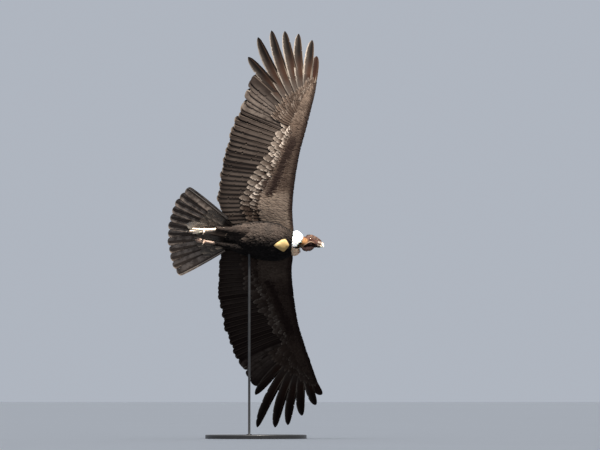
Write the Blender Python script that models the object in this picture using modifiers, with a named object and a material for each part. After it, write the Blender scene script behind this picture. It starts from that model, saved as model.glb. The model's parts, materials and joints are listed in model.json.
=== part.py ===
"""Andean condor, an adult male in soaring flight, life size, banked on a plain display stand.

The bird is modelled in its own frame: +X forward, +Y to its left, +Z up through its back.
An empty then banks it over the stand, right wing up, with the floor at z = 0.
All sizes are in metres.
"""

from math import cos, pi, radians, sin, sqrt, tan
import random

import bmesh
import bpy
from mathutils import Matrix, Vector

# Driving dimensions of the whole bird
HALF_SPAN = 1.54
BODY_YAW = radians(5.0)
GAP = 0.0003

# Bank on the stand
BANK = radians(74.0)
BIRD_HEIGHT = 1.49
BASE_RADIUS = 0.38
BASE_THICK = 0.03
BASE_EDGE = 0.006
BASE_SIDES = 36
ROD_RADIUS = 0.009
ROD_X = -0.05
ROD_Y = -0.05

# Torso: distance forward, half width, depth of the belly, height of the back
TORSO_SECTIONS = [
    (-0.240, 0.048, 0.036, 0.036),
    (-0.205, 0.072, 0.058, 0.050),
    (-0.130, 0.104, 0.092, 0.074),
    (-0.030, 0.130, 0.120, 0.094),
    (0.070, 0.143, 0.137, 0.103),
    (0.150, 0.142, 0.140, 0.100),
    (0.205, 0.126, 0.122, 0.091),
    (0.250, 0.102, 0.096, 0.078),
    (0.278, 0.082, 0.076, 0.066),
    (0.290, 0.066, 0.062, 0.056),
]
TORSO_SIDES = 18
TORSO_RINGS = 14
TORSO_SQUARENESS = 2.15

# Neck and head
NECK_SIDES = 18
NECK_RADIUS = 0.044
NECK_RINGS = 7
NECK_FOLD = 0.0022
HEAD_CENTRE = Vector((0.395, 0.024, 0.0))
HEAD_ROLL = radians(38.0)
HEAD_PITCH = radians(10.0)
# Skull and cere, in the head's frame: forward, half width, height above, depth below
HEAD_SECTIONS = [
    (-0.052, 0.040, 0.039, 0.045),
    (-0.034, 0.043, 0.043, 0.047),
    (-0.010, 0.0425, 0.044, 0.044),
    (0.008, 0.0390, 0.042, 0.039),
    (0.024, 0.0315, 0.038, 0.034),
    (0.040, 0.0245, 0.034, 0.030),
    (0.056, 0.0200, 0.031, 0.027),
    (0.068, 0.0175, 0.029, 0.0245),
]
HEAD_SIDES = 16
HEAD_RINGS = 10
MOUTH_HEIGHT = -0.008
MOUTH_CORNER = 0.018
MOUTH_LINE = 0.0012
EYE_PLACE = (0.009, 0.0335, 0.010)
EYE_RADIUS = 0.0092
LID_RADIUS = 0.0092
LID_THICK = 0.0026
EAR_PLACE = (-0.024, 0.0425, -0.006)
NOSTRIL_PLACE = (0.050, 0.0, 0.012)
NOSTRIL_SIZE = (0.0055, 0.05, 0.0030)

# Bill: forward, half width, top, bottom
UPPER_BILL_SECTIONS = [
    (0.0683, 0.0172, 0.0285, -0.0074),
    (0.0800, 0.0158, 0.0278, -0.0085),
    (0.0920, 0.0138, 0.0250, -0.0100),
    (0.1040, 0.0112, 0.0180, -0.0130),
    (0.1130, 0.0082, 0.0070, -0.0190),
    (0.1175, 0.0052, -0.0060, -0.0245),
    (0.1183, 0.0022, -0.0170, -0.0285),
]
LOWER_BILL_SECTIONS = [
    (0.0683, 0.0165, -0.0085, -0.0242),
    (0.0800, 0.0146, -0.0096, -0.0238),
    (0.0910, 0.0118, -0.0112, -0.0228),
    (0.0990, 0.0080, -0.0136, -0.0214),
    (0.1035, 0.0036, -0.0162, -0.0200),
]
BILL_SIDES = 12

# Comb, wattle and skin folds of the male: forward, foot, top, half thickness
COMB_SECTIONS = [
    (0.094, 0.018, 0.0270, 0.0040),
    (0.086, 0.018, 0.0395, 0.0075),
    (0.072, 0.018, 0.0525, 0.0090),
    (0.054, 0.020, 0.0635, 0.0095),
    (0.034, 0.024, 0.0730, 0.0100),
    (0.012, 0.028, 0.0790, 0.0100),
    (-0.010, 0.028, 0.0775, 0.0095),
    (-0.026, 0.028, 0.0680, 0.0080),
    (-0.036, 0.028, 0.0530, 0.0050),
]
WATTLE_SECTIONS = [
    (0.046, -0.018, -0.0400, 0.0050),
    (0.034, -0.020, -0.0590, 0.0080),
    (0.016, -0.022, -0.0730, 0.0095),
    (-0.004, -0.024, -0.0780, 0.0105),
    (-0.022, -0.026, -0.0750, 0.0100),
    (-0.038, -0.026, -0.0660, 0.0080),
    (-0.047, -0.028, -0.0500, 0.0050),
]
FOLD_SIDES = 8
FOLD_WAVE = 0.003
COMB_SEED = 3
WATTLE_SEED = 5
HEAD_ROOM = 0.006
COMB_BULBS = 3
BULB_RADIUS = 0.0075
CHEEK_FOLDS = 2

# Ruff of white down round the foot of the neck, open at the throat
RUFF_X = 0.296
RUFF_RADIUS = 0.068
RUFF_CORE = 0.019
RUFF_OPENING = radians(34.0)
RUFF_LOCKS = 15
RUFF_LOCK_LENGTH = 0.066
RUFF_LOCK_WIDTH = 0.036
RUFF_LOCK_THICK = 0.011

# Wing planform: distance out from the midline, then forward of the bird's origin
LEADING_EDGE = {
    "R": [
        (0.06, 0.283), (0.15, 0.276), (0.23, 0.273), (0.32, 0.279), (0.40, 0.287),
        (0.48, 0.298), (0.56, 0.311), (0.64, 0.326), (0.71, 0.344), (0.78, 0.364),
        (0.86, 0.385), (0.93, 0.404), (1.00, 0.421), (1.08, 0.441), (1.16, 0.455),
    ],
    "L": [
        (0.06, 0.283), (0.15, 0.276), (0.23, 0.268), (0.32, 0.271), (0.40, 0.279),
        (0.48, 0.288), (0.56, 0.299), (0.64, 0.311), (0.71, 0.326), (0.78, 0.347),
        (0.86, 0.369), (0.93, 0.390), (1.00, 0.411), (1.08, 0.436), (1.16, 0.461),
    ],
}
TRAILING_EDGE = {
    "R": [
        (0.06, -0.200), (0.14, -0.226), (0.22, -0.265), (0.30, -0.286), (0.37, -0.287),
        (0.48, -0.270), (0.56, -0.254), (0.64, -0.238), (0.71, -0.220), (0.78, -0.197),
        (0.86, -0.172), (0.93, -0.145), (1.00, -0.106), (1.08, -0.072), (1.16, -0.040),
    ],
    "L": [
        (0.06, -0.236), (0.14, -0.264), (0.23, -0.279), (0.32, -0.286), (0.40, -0.290),
        (0.48, -0.280), (0.56, -0.267), (0.64, -0.253), (0.71, -0.238), (0.78, -0.219),
        (0.86, -0.192), (0.93, -0.163), (1.00, -0.129), (1.08, -0.092), (1.16, -0.048),
    ],
}
WING_ROOT_HEIGHT = 0.032
WING_RISE = 0.33
WING_RISE_START = 0.15
WING_RISE_POWER = 1.9
WING_CAMBER = 0.034

# Flesh and small feathers of the wing: out, thickness, share of the chord
WING_CORE = [
    (0.050, 0.100, 0.62), (0.150, 0.084, 0.60), (0.250, 0.070, 0.55), (0.370, 0.057, 0.48),
    (0.520, 0.046, 0.41), (0.660, 0.040, 0.35), (0.780, 0.035, 0.32),
    (0.870, 0.030, 0.30), (0.980, 0.023, 0.28), (1.080, 0.016, 0.24),
    (1.135, 0.010, 0.16), (1.175, 0.005, 0.06),
]
CORE_CHORD_STEPS = [0.0, 0.018, 0.09, 0.30, 0.64, 1.0]
CORE_EDGE = 0.0080

# The wrist, where the wing is parted: (forward, out) at the front and at the back
WRIST_FRONT = (0.40, 0.772)
WRIST_BACK = (-0.20, 1.012)

# Flight feathers of the arm
SECONDARIES = 18
SECONDARY_ROOTS = (0.135, 0.795)
SECONDARY_TIPS = (0.125, 0.985)
SECONDARY_WIDTH = 0.066
SECONDARY_STARTS = (0.40, 0.12)
# The ten flight feathers of each hand, innermost first: tip forward, out and up, bow, width
FINGERS = {
    "R": [
        (-0.096, 1.020, 0.150, 0.000, 0.074), (-0.072, 1.107, 0.170, -0.004, 0.074),
        (-0.041, 1.185, 0.190, -0.003, 0.074), (-0.058, 1.358, 0.215, -0.004, 0.077),
        (0.015, 1.500, 0.255, -0.028, 0.076), (0.116, 1.538, 0.320, -0.026, 0.077),
        (0.215, 1.527, 0.350, -0.012, 0.077), (0.319, 1.500, 0.385, -0.020, 0.072),
        (0.421, 1.448, 0.400, -0.011, 0.071), (0.456, 1.330, 0.375, 0.000, 0.070),
    ],
    "L": [
        (-0.106, 1.033, 0.150, 0.000, 0.074), (-0.068, 1.112, 0.170, 0.000, 0.074),
        (-0.028, 1.180, 0.190, -0.006, 0.074), (-0.010, 1.268, 0.215, -0.012, 0.075),
        (0.003, 1.538, 0.255, -0.028, 0.076), (0.139, 1.558, 0.320, -0.028, 0.078),
        (0.237, 1.548, 0.350, -0.018, 0.071), (0.345, 1.483, 0.385, -0.017, 0.071),
        (0.449, 1.403, 0.400, -0.007, 0.067), (0.494, 1.315, 0.375, -0.003, 0.067),
    ],
}
HAND_ROOTS = (0.868, 1.092)
HAND_ROOT_CHORD = (0.27, 0.07)
FINGER_FREE = 0.42

# Stacking of the vanes
FLIGHT_THICK = 0.0013
COVERT_THICK = 0.0011
LOUVRE = tan(radians(3.4))
TIER_STEP = 0.0048

# Coverts: feathers, then share of the way to the flight feather's tip at root and tip
UNDER_GREATER = (11, 0.20, 0.62, 0.30)
UNDER_MEDIAN = (5, 0.14, 0.46, 0.20)
UPPER_GREATER = (10, 0.18, 0.56, 0.42)
ALULA = 2

# Width along a vane, as a share of its greatest width
BROAD_VANE = [(0.0, 0.70), (0.52, 1.0), (0.93, 0.86), (1.0, 0.30)]
FINGER_VANE = [(0.0, 0.60), (0.40, 1.0), (0.62, 1.0), (0.82, 0.86), (0.94, 0.56), (1.0, 0.14)]
COVERT_VANE = [(0.0, 0.60), (0.60, 1.0), (0.90, 0.74), (1.0, 0.24)]
SHORT_VANE = [(0.0, 0.70), (0.78, 0.96), (1.0, 0.40)]
LOCK_VANE = [(0.0, 0.55), (0.35, 1.0), (0.72, 0.80), (1.0, 0.12)]

# Tail
TAIL_ROOT = Vector((-0.165, -0.041, -0.012))
TAIL_AXIS = radians(5.7)
TAIL_SPREAD = radians(67.0)
TAIL_BREADTH = 0.130
TAIL_FEATHERS = 12
TAIL_LENGTH = 0.497
TAIL_START = 0.080
TAIL_WIDTH = 0.074
TAIL_STEP = 0.0021
TAIL_DROP = 0.020
# Fleshy root of the tail: distance back along its axis, half width, half thickness
TAIL_CORE = [
    (0.018, 0.050, 0.028), (0.060, 0.082, 0.027), (0.095, 0.108, 0.022), (0.130, 0.118, 0.016),
    (0.160, 0.112, 0.011), (0.182, 0.090, 0.007), (0.194, 0.060, 0.004),
]
TAIL_TILT = 0.030
TAIL_COVERTS = 4
TAIL_COVERT_WIDTH = 0.078
UNDER_TAIL_LENGTH = 0.305
UPPER_TAIL_LENGTH = 0.245

# Legs, stretched back under the tail: hip, ankle, foot and toe ends, in the bird's frame
LEGS = {
    "R": (
        Vector((-0.055, -0.070, -0.058)), Vector((-0.262, -0.104, -0.082)),
        Vector((-0.372, -0.096, -0.077)), Vector((-0.522, -0.084, -0.068)),
    ),
    "L": (
        Vector((-0.070, 0.050, -0.062)), Vector((-0.272, 0.010, -0.084)),
        Vector((-0.374, -0.008, -0.078)), Vector((-0.476, -0.024, -0.066)),
    ),
}
THIGH_RADII = (0.046, 0.017)
TARSUS_RADIUS = 0.0115
TOE_SPREADS = (-0.14, 0.0, 0.14)
TOE_LENGTHS = (0.72, 0.90, 0.72)
TOE_RADIUS = 0.0085
HIND_TOE_LENGTH = 0.036
CLAW_LENGTH = 0.030
CLAW_RADIUS = 0.0046

COLOURS = {
    "black_feather": ((0.030, 0.026, 0.023), 0.62),
    "torso_feather": ((0.026, 0.023, 0.021), 0.75),
    "white_down": ((0.86, 0.85, 0.81), 0.85),
    "head_skin": ((0.24, 0.13, 0.10), 0.55),
    "neck_skin": ((0.62, 0.30, 0.10), 0.55),
    "bill_ivory": ((0.80, 0.74, 0.60), 0.35),
    "eye_brown": ((0.10, 0.035, 0.015), 0.08),
    "leg_scales": ((0.62, 0.52, 0.44), 0.60),
    "claw_dark": ((0.05, 0.045, 0.04), 0.40),
    "stand_black": ((0.018, 0.018, 0.019), 0.45),
}


def clear_scene():
    for thing in list(bpy.data.objects):
        bpy.data.objects.remove(thing, do_unlink=True)


def material(slot):
    found = bpy.data.materials.get(slot)
    if found:
        return found
    colour, roughness = COLOURS[slot]
    made = bpy.data.materials.new(slot)
    made.use_nodes = True
    shader = made.node_tree.nodes["Principled BSDF"]
    shader.inputs["Base Color"].default_value = (*colour, 1.0)
    shader.inputs["Roughness"].default_value = roughness
    shader.inputs["Metallic"].default_value = 0.0
    return made


def spline(points):
    """A smooth curve through rising (x, y) points, as a function of x, straight past its ends."""
    xs = [p[0] for p in points]
    ys = [p[1] for p in points]
    last = len(points) - 1
    slopes = []
    for i in range(last + 1):
        low = max(i - 1, 0)
        high = min(i + 1, last)
        slopes.append((ys[high] - ys[low]) / (xs[high] - xs[low]))

    def value(x):
        if x <= xs[0]:
            return ys[0] + slopes[0] * (x - xs[0])
        if x >= xs[last]:
            return ys[last] + slopes[last] * (x - xs[last])
        i = max(k for k in range(last) if xs[k] <= x)
        span = xs[i + 1] - xs[i]
        t = (x - xs[i]) / span
        start = ys[i] * (1 + 2 * t) * (1 - t) ** 2 + slopes[i] * span * t * (1 - t) ** 2
        end = ys[i + 1] * t * t * (3 - 2 * t) + slopes[i + 1] * span * t * t * (t - 1)
        return start + end

    return value


def columns(table):
    """One smooth curve for each column after the first, which is the distance along."""
    rising = sorted(table)
    return [spline([(row[0], row[k]) for row in rising]) for k in range(1, len(table[0]))]


def spread(start, end, count):
    """Numbers spaced evenly from start to end."""
    return [start + (end - start) * i / (count - 1) for i in range(count)]


def new_object(name, vertices, faces, slot):
    mesh = bpy.data.meshes.new(name)
    mesh.from_pydata([tuple(v) for v in vertices], [], faces)
    work = bmesh.new()
    work.from_mesh(mesh)
    bmesh.ops.recalc_face_normals(work, faces=work.faces)
    if work.calc_volume(signed=True) < 0:
        bmesh.ops.reverse_faces(work, faces=work.faces)
    bmesh.ops.triangulate(work, faces=work.faces, quad_method="FIXED")
    work.to_mesh(mesh)
    work.free()
    thing = bpy.data.objects.new(name, mesh)
    mesh.materials.append(material(slot))
    parts.objects.link(thing)
    return thing


def loft(name, rings, slot):
    """A closed body through rings of equal point count, with a flat cap at each end."""
    sides = len(rings[0])
    vertices = [p for ring in rings for p in ring]
    faces = []
    for i in range(len(rings) - 1):
        for j in range(sides):
            k = (j + 1) % sides
            low = i * sides
            high = low + sides
            faces.append((low + j, low + k, high + k, high + j))
    faces.append(tuple(reversed(range(sides))))
    faces.append(tuple(range(len(vertices) - sides, len(vertices))))
    return new_object(name, vertices, faces, slot)


def oval(sides, squareness=2.0):
    """Points of a rounded outline of unit half width and height, as (across, up) pairs."""
    points = []
    for j in range(sides):
        angle = 2 * pi * j / sides
        across = abs(cos(angle)) ** (2 / squareness)
        up = abs(sin(angle)) ** (2 / squareness)
        points.append((across if cos(angle) >= 0 else -across, up if sin(angle) >= 0 else -up))
    return points


def strip(name, left, right, thick, slot):
    """A thin vane between two edges, split into triangles alike on both faces."""
    vertices = []
    for a, b, t in zip(left, right, thick):
        lift = Vector((0, 0, t / 2))
        vertices += [a + lift, b + lift, b - lift, a - lift]
    faces = []
    for i in range(len(left) - 1):
        n = 4 * i
        m = n + 4
        faces += [(n, n + 1, m + 1), (n, m + 1, m)]
        faces += [(n + 3, m + 2, n + 2), (n + 3, m + 3, m + 2)]
        faces += [(n + 1, n + 2, m + 2), (n + 1, m + 2, m + 1)]
        faces += [(n, m, m + 3), (n, m + 3, n + 3)]
    end = 4 * (len(left) - 1)
    faces += [(3, 2, 1, 0), (end, end + 1, end + 2, end + 3)]
    return new_object(name, vertices, faces, slot)


def tube(name, path, radii, slot, sides=10, flat=1.0, up=Vector((0, 0, 1))):
    """A closed round body along a path, wider across than it is high where flat is under 1."""
    rings = []
    for i, centre in enumerate(path):
        ahead = path[min(i + 1, len(path) - 1)] - path[max(i - 1, 0)]
        across = ahead.cross(up).normalized()
        rise = across.cross(ahead).normalized()
        ring = []
        for x, y in oval(sides):
            ring.append(centre + across * x * radii[i] + rise * y * radii[i] * flat)
        rings.append(ring)
    return loft(name, rings, slot)


def ellipsoid(name, centre, size, slot, detail=2):
    bpy.ops.mesh.primitive_ico_sphere_add(subdivisions=detail, radius=1.0)
    ball = bpy.context.object
    ball.name = name
    ball.data.transform(Matrix.Translation(centre) @ Matrix.Diagonal((*size, 1.0)))
    ball.data.materials.append(material(slot))
    for holder in list(ball.users_collection):
        holder.objects.unlink(ball)
    parts.objects.link(ball)
    return ball


def bake(thing):
    """Puts the evaluated mesh in place of the modifiers."""
    graph = bpy.context.evaluated_depsgraph_get()
    mesh = bpy.data.meshes.new_from_object(thing.evaluated_get(graph))
    thing.modifiers.clear()
    thing.data = mesh


def combine(thing, others, operation):
    """One Boolean of a body with a collection of closed ones, which are then removed."""
    group = bpy.data.collections.new("pieces")
    bpy.context.scene.collection.children.link(group)
    for other in others:
        for holder in list(other.users_collection):
            holder.objects.unlink(other)
        group.objects.link(other)
    step = thing.modifiers.new(operation.lower(), "BOOLEAN")
    step.operation = operation
    step.operand_type = "COLLECTION"
    step.collection = group
    step.solver = "MANIFOLD"
    bake(thing)
    for other in others:
        bpy.data.objects.remove(other, do_unlink=True)
    bpy.data.collections.remove(group)
    keep_largest(thing)


def islands(work):
    """The faces of each connected surface."""
    left = set(work.faces)
    found = []
    while left:
        todo = [left.pop()]
        island = list(todo)
        while todo:
            face = todo.pop()
            for edge in face.edges:
                for other in edge.link_faces:
                    if other in left:
                        left.remove(other)
                        todo.append(other)
                        island.append(other)
        found.append(island)
    return found


def keep_largest(thing):
    """Keeps only the surface that encloses the most, without loose scraps or sealed hollows."""
    work = bmesh.new()
    work.from_mesh(thing.data)
    bmesh.ops.triangulate(work, faces=work.faces)

    def volume(island):
        total = 0.0
        for face in island:
            a, b, c = [v.co for v in face.verts]
            total += a.dot(b.cross(c)) / 6
        return total

    ranked = sorted(islands(work), key=volume, reverse=True)
    extra = [face for island in ranked[1:] for face in island]
    bmesh.ops.delete(work, geom=extra, context="FACES")
    work.to_mesh(thing.data)
    work.free()


def soften(thing, angle=40.0):
    thing.data.shade_smooth()
    thing.data.set_sharp_from_angle(angle=radians(angle))


# Torso and neck

TORSO_SHAPE = columns(TORSO_SECTIONS)


def torso_body(name, grow=0.0):
    """The torso, its axis turned a little to the bird's left at the front."""
    half_width, belly, back = TORSO_SHAPE
    start = TORSO_SECTIONS[0][0]
    end = TORSO_SECTIONS[-1][0]
    rings = []
    for x in spread(start, end, TORSO_RINGS):
        ring = []
        for across, up in oval(TORSO_SIDES, TORSO_SQUARENESS):
            y = x * tan(BODY_YAW) + across * (half_width(x) + grow)
            z = up * ((back(x) if up > 0 else belly(x)) + grow)
            ring.append(Vector((x, y, z)))
        rings.append(ring)
    if grow:
        for ring, shift in ((rings[0], -grow), (rings[-1], grow)):
            for p in ring:
                p.x += shift
    return loft(name, rings, "torso_feather")


def head_matrix():
    """The head's own frame in the bird's: rolled back towards level and dipped at the bill."""
    roll = Matrix.Rotation(HEAD_ROLL, 4, "X")
    pitch = Matrix.Rotation(HEAD_PITCH, 4, "Y")
    return Matrix.Translation(HEAD_CENTRE) @ roll @ pitch


def neck_body(name, grow=0.0):
    """A short bare neck from the torso's front to the back of the skull, ringed by folds."""
    end_frame = head_matrix()
    start = Vector((TORSO_SECTIONS[-1][0] + GAP - grow, 0, -0.004))
    start.y = start.x * tan(BODY_YAW)
    back = HEAD_SECTIONS[0]
    outline = oval(NECK_SIDES)
    rings = []
    for i, t in enumerate(spread(0.0, 1.0, NECK_RINGS)):
        fold = NECK_FOLD * (1 if i % 2 else -1) if 0 < t < 1 else 0.0
        ring = []
        for across, up in outline:
            radius = NECK_RADIUS + grow
            low = start + Vector((0, across * radius, up * radius))
            height = back[2] if up > 0 else back[3]
            local = Vector(
                (back[0] - GAP + grow, across * (back[1] - 0.001 + grow), up * (height - 0.001 + grow))
            )
            high = end_frame @ local
            centre = start.lerp(end_frame @ Vector((back[0], 0, 0)), t)
            point = low.lerp(high, t)
            ring.append(point + (point - centre).normalized() * fold)
        rings.append(ring)
    return loft(name, rings, "neck_skin")


# Head, modelled in its own frame

HEAD_SHAPE = columns(HEAD_SECTIONS)


def skull(name, grow=0.0):
    half_width, above, below = HEAD_SHAPE
    rings = []
    for x in spread(HEAD_SECTIONS[0][0] - grow, HEAD_SECTIONS[-1][0] + grow, HEAD_RINGS):
        ring = []
        for across, up in oval(HEAD_SIDES, 2.2):
            height = above(x) if up > 0 else below(x)
            ring.append(Vector((x, across * (half_width(x) + grow), up * (height + grow))))
        rings.append(ring)
    return loft(name, rings, "head_skin")


def ridge(name, sections, slot, wave, seed):
    """An upright fleshy fold on the midline, lobed along its free edge."""
    draw = random.Random(seed)
    foot, top, half = columns(sections)
    start = min(s[0] for s in sections)
    end = max(s[0] for s in sections)
    rings = []
    for i, x in enumerate(spread(start, end, 11)):
        lean = draw.uniform(-1, 1) * wave * 0.5
        swell = 1.0 + 0.10 * (1 if i % 2 else -1)
        ring = []
        for across, up in oval(FOLD_SIDES, 2.4):
            share = (up + 1) / 2
            z = foot(x) + (top(x) * (1.0 + 0.02 * (swell - 1) / 0.10) - foot(x)) * share
            y = across * half(x) * swell + lean * share
            ring.append(Vector((x, y, z)))
        rings.append(ring)
    return loft(name, rings, slot)


def comb_bulbs():
    """Bulbs along the comb's crest and sides."""
    draw = random.Random(11)
    top = columns(COMB_SECTIONS)[1]
    bulbs = []
    for i, x in enumerate(spread(0.080, -0.026, COMB_BULBS)):
        size = BULB_RADIUS * draw.uniform(0.8, 1.15)
        side = draw.uniform(-0.4, 0.4) * BULB_RADIUS
        centre = Vector((x, side, top(x) - size * draw.uniform(0.75, 1.0)))
        shape = (size * 1.05, size * 1.25, size)
        bulbs.append(ellipsoid(f"bulb_{i}", centre, shape, "head_skin", 2))
    return bulbs


def cheek_folds():
    """Loose skin folds that run from behind each eye down to the throat."""
    folds = []
    for side in (-1, 1):
        for i in range(CHEEK_FOLDS):
            back = -0.018 - 0.011 * i
            path = []
            for t in spread(0.0, 1.0, 5):
                x = back - 0.012 * sin(pi * t)
                angle = radians(42 - 100 * t)
                half_width, above, below = HEAD_SHAPE
                height = above(x) if angle > 0 else below(x)
                reach = 1.0 if 0 < t < 1 else 0.93
                path.append(
                    Vector((x, side * half_width(x) * cos(angle) * reach, height * sin(angle) * reach))
                )
            radii = [0.0028, 0.0042, 0.0047, 0.0042, 0.0028]
            folds.append(tube(f"fold_{side}_{i}", path, radii, "head_skin", 6, up=Vector((1, 0, 0.2))))
    return folds


def ring_solid(name, centre, normal, radius, thick, slot):
    bpy.ops.mesh.primitive_torus_add(
        major_radius=radius, minor_radius=thick, major_segments=10, minor_segments=4
    )
    ring = bpy.context.object
    ring.name = name
    turn = Vector((0, 0, 1)).rotation_difference(normal).to_matrix().to_4x4()
    ring.data.transform(Matrix.Translation(centre) @ turn)
    ring.data.materials.append(material(slot))
    for holder in list(ring.users_collection):
        holder.objects.unlink(ring)
    parts.objects.link(ring)
    return ring


def head_body():
    """Skull, cere, comb, wattle, lids, ears and folds as one body, cut for eyes and nostrils."""
    head = skull("head")
    pieces = [
        ridge("comb", COMB_SECTIONS, "head_skin", FOLD_WAVE, COMB_SEED),
        ridge("wattle", WATTLE_SECTIONS, "head_skin", FOLD_WAVE, WATTLE_SEED),
        *comb_bulbs(),
        *cheek_folds(),
    ]
    for side in (-1, 1):
        eye = Vector((EYE_PLACE[0], side * EYE_PLACE[1], EYE_PLACE[2]))
        out = Vector((0.25, side, 0.12)).normalized()
        pieces.append(ring_solid(f"lid_{side}", eye + out * 0.0062, out, LID_RADIUS, LID_THICK, "head_skin"))
        ear = Vector((EAR_PLACE[0], side * EAR_PLACE[1], EAR_PLACE[2]))
        pieces.append(ring_solid(f"ear_rim_{side}", ear - Vector((0, side * 0.001, 0)),
                                 Vector((0, side, 0)), 0.0055, 0.0020, "head_skin"))
    combine(head, pieces, "UNION")
    cuts = [ellipsoid("nostril", Vector(NOSTRIL_PLACE), NOSTRIL_SIZE, "head_skin", 2)]
    for side in (-1, 1):
        eye = Vector((EYE_PLACE[0], side * EYE_PLACE[1], EYE_PLACE[2]))
        cuts.append(ellipsoid(f"socket_{side}", eye, [EYE_RADIUS + GAP] * 3, "head_skin", 2))
        ear = Vector((EAR_PLACE[0], side * EAR_PLACE[1], EAR_PLACE[2]))
        cuts.append(ellipsoid(f"ear_{side}", ear, (0.0045, 0.007, 0.0036), "head_skin", 1))
    cuts.append(mouth_cut())
    cuts.append(bill_clearance())
    combine(head, cuts, "DIFFERENCE")
    soften(head, 50)
    return head


def mouth_cut():
    """A thin wedge that parts the jaws back to the corners of the mouth."""
    front = HEAD_SECTIONS[-1][0] + 0.01
    half = 0.05
    z = MOUTH_HEIGHT
    rings = []
    for x, thick in ((MOUTH_CORNER, 0.0004), (front, MOUTH_LINE)):
        rings.append([Vector((x, y, z + dz)) for y, dz in
                      ((-half, -thick / 2), (half, -thick / 2), (half, thick / 2), (-half, thick / 2))])
    return loft("mouth", rings, "head_skin")


def bill_clearance():
    """The room of the horn bill, which keeps the comb's front clear of it."""
    return bill_half("bill_room", UPPER_BILL_SECTIONS, True, GAP)


def bill_half(name, sections, upper, grow=0.0):
    """Half of the horn bill: round on its outer side, flat where the halves meet."""
    half_width, top, bottom = columns(sections)
    start = sections[0][0] - (grow - 0.00005 if grow else 0.0)
    end = sections[-1][0]
    rings = []
    for x in spread(start, end, 8):
        middle = (top(x) + bottom(x)) / 2
        tall = (top(x) - bottom(x)) / 2 + grow
        ring = []
        for across, up in oval(BILL_SIDES, 2.3):
            flat = (up < 0) if upper else (up > 0)
            height = up * tall * (0.92 if flat else 1.0)
            ring.append(Vector((x, across * (half_width(x) + grow), middle + height)))
        rings.append(ring)
    return loft(name, rings, "bill_ivory")


# Ruff

def ruff_centre(angle, radius, x):
    """A point round the neck: angle 0 is the bird's left, a quarter turn is its back."""
    return Vector((x, x * tan(BODY_YAW) + radius * cos(angle), radius * 0.94 * sin(angle) - 0.003))


def ruff_body():
    """An open collar of soft curved locks on a low core."""
    start = -pi / 2 + RUFF_OPENING / 2
    end = 3 * pi / 2 - RUFF_OPENING / 2
    path = [ruff_centre(a, RUFF_RADIUS, RUFF_X) for a in spread(start, end, 22)]
    taper = [min(1.0, 0.55 + 0.15 * min(i, 21 - i)) for i in range(22)]
    radii = [RUFF_CORE * t for t in taper]
    ruff = tube("ruff", path, radii, "white_down", 8, up=Vector((1, 0, 0)))
    draw = random.Random(21)
    locks = []
    for tier in range(2):
        count = RUFF_LOCKS - 3 * tier
        for i in range(count):
            share = (i + 0.5 + draw.uniform(-0.15, 0.15)) / count
            angle = start + (end - start) * share
            locks.append(ruff_lock(f"lock_{tier}_{i}", angle, tier, draw))
    combine(ruff, locks, "UNION")
    cutters = [torso_body("torso_room", GAP), neck_body("neck_room", GAP), head_room()]
    cutters += [wing_core(f"wing_room_{side}", side, GAP) for side in (1, -1)]
    combine(ruff, cutters, "DIFFERENCE")
    soften(ruff, 60)
    return ruff


def ruff_lock(name, angle, tier, draw):
    """A flat tapered lock that rises from the core and bends forward over the neck."""
    length = RUFF_LOCK_LENGTH * draw.uniform(0.9, 1.1) * (1.0, 0.86)[tier]
    width = RUFF_LOCK_WIDTH * draw.uniform(0.9, 1.1)
    swing = draw.uniform(-0.10, 0.10)
    across = Vector((0, -sin(angle), cos(angle)))
    out = Vector((0, cos(angle), sin(angle)))
    left = []
    right = []
    depth = []
    for t, share in LOCK_VANE:
        x = RUFF_X - 0.016 + 0.012 * tier + length * t
        radius = RUFF_RADIUS + (0.022, 0.006)[tier] + 0.016 * sin(pi * min(1.0, t * 1.25)) - 0.026 * t * t
        centre = ruff_centre(angle + swing * t, radius, x)
        left.append(centre - across * width * share / 2)
        right.append(centre + across * width * share / 2)
        depth.append(RUFF_LOCK_THICK * max(share, 0.3))
    return lock_solid(name, left, right, out, depth)


def lock_solid(name, left, right, out, depth):
    """A lens-shaped lock between two edges."""
    rings = []
    for a, b, d in zip(left, right, depth):
        middle = (a + b) / 2
        rings.append([a, middle - out * d * 0.4, b, middle + out * d * 0.6])
    return loft(name, rings, "white_down")


def head_room():
    """The skull and its wattle, grown, as room kept free round the head."""
    room = skull("skull_room", HEAD_ROOM)
    grown = [(x, foot, low - HEAD_ROOM, half + HEAD_ROOM / 2) for x, foot, low, half in WATTLE_SECTIONS]
    combine(room, [ridge("wattle_room", grown, "head_skin", FOLD_WAVE, WATTLE_SEED)], "UNION")
    room.data.transform(head_matrix())
    return room


# Wings

LEAD = {1: spline(LEADING_EDGE["L"]), -1: spline(LEADING_EDGE["R"])}
TRAIL = {1: spline(TRAILING_EDGE["L"]), -1: spline(TRAILING_EDGE["R"])}
CORE_THICK, CORE_REACH = columns(WING_CORE)


def wing_height(side, x, s):
    """Height of the wing's middle surface: it rises towards the tip and arches along the chord."""
    out = max(s - WING_RISE_START, 0.0) / (HALF_SPAN - WING_RISE_START)
    rise = WING_RISE * out ** WING_RISE_POWER
    lead = LEAD[side](s)
    chord = lead - TRAIL[side](s)
    c = min(max((lead - x) / chord, 0.0), 1.0) if chord > 0 else 1.0
    fade = min(max((1.22 - s) / 0.35, 0.0), 1.0)
    return WING_ROOT_HEIGHT + rise + WING_CAMBER * fade * sin(pi * c ** 0.8)


def flesh_half(v):
    """Half thickness of a rounded section at share v of its length, 1 at its thickest."""
    shape = 0.2969 * sqrt(v) - 0.126 * v - 0.3516 * v * v + 0.2843 * v ** 3 - 0.1036 * v ** 4
    return shape / 0.1


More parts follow.
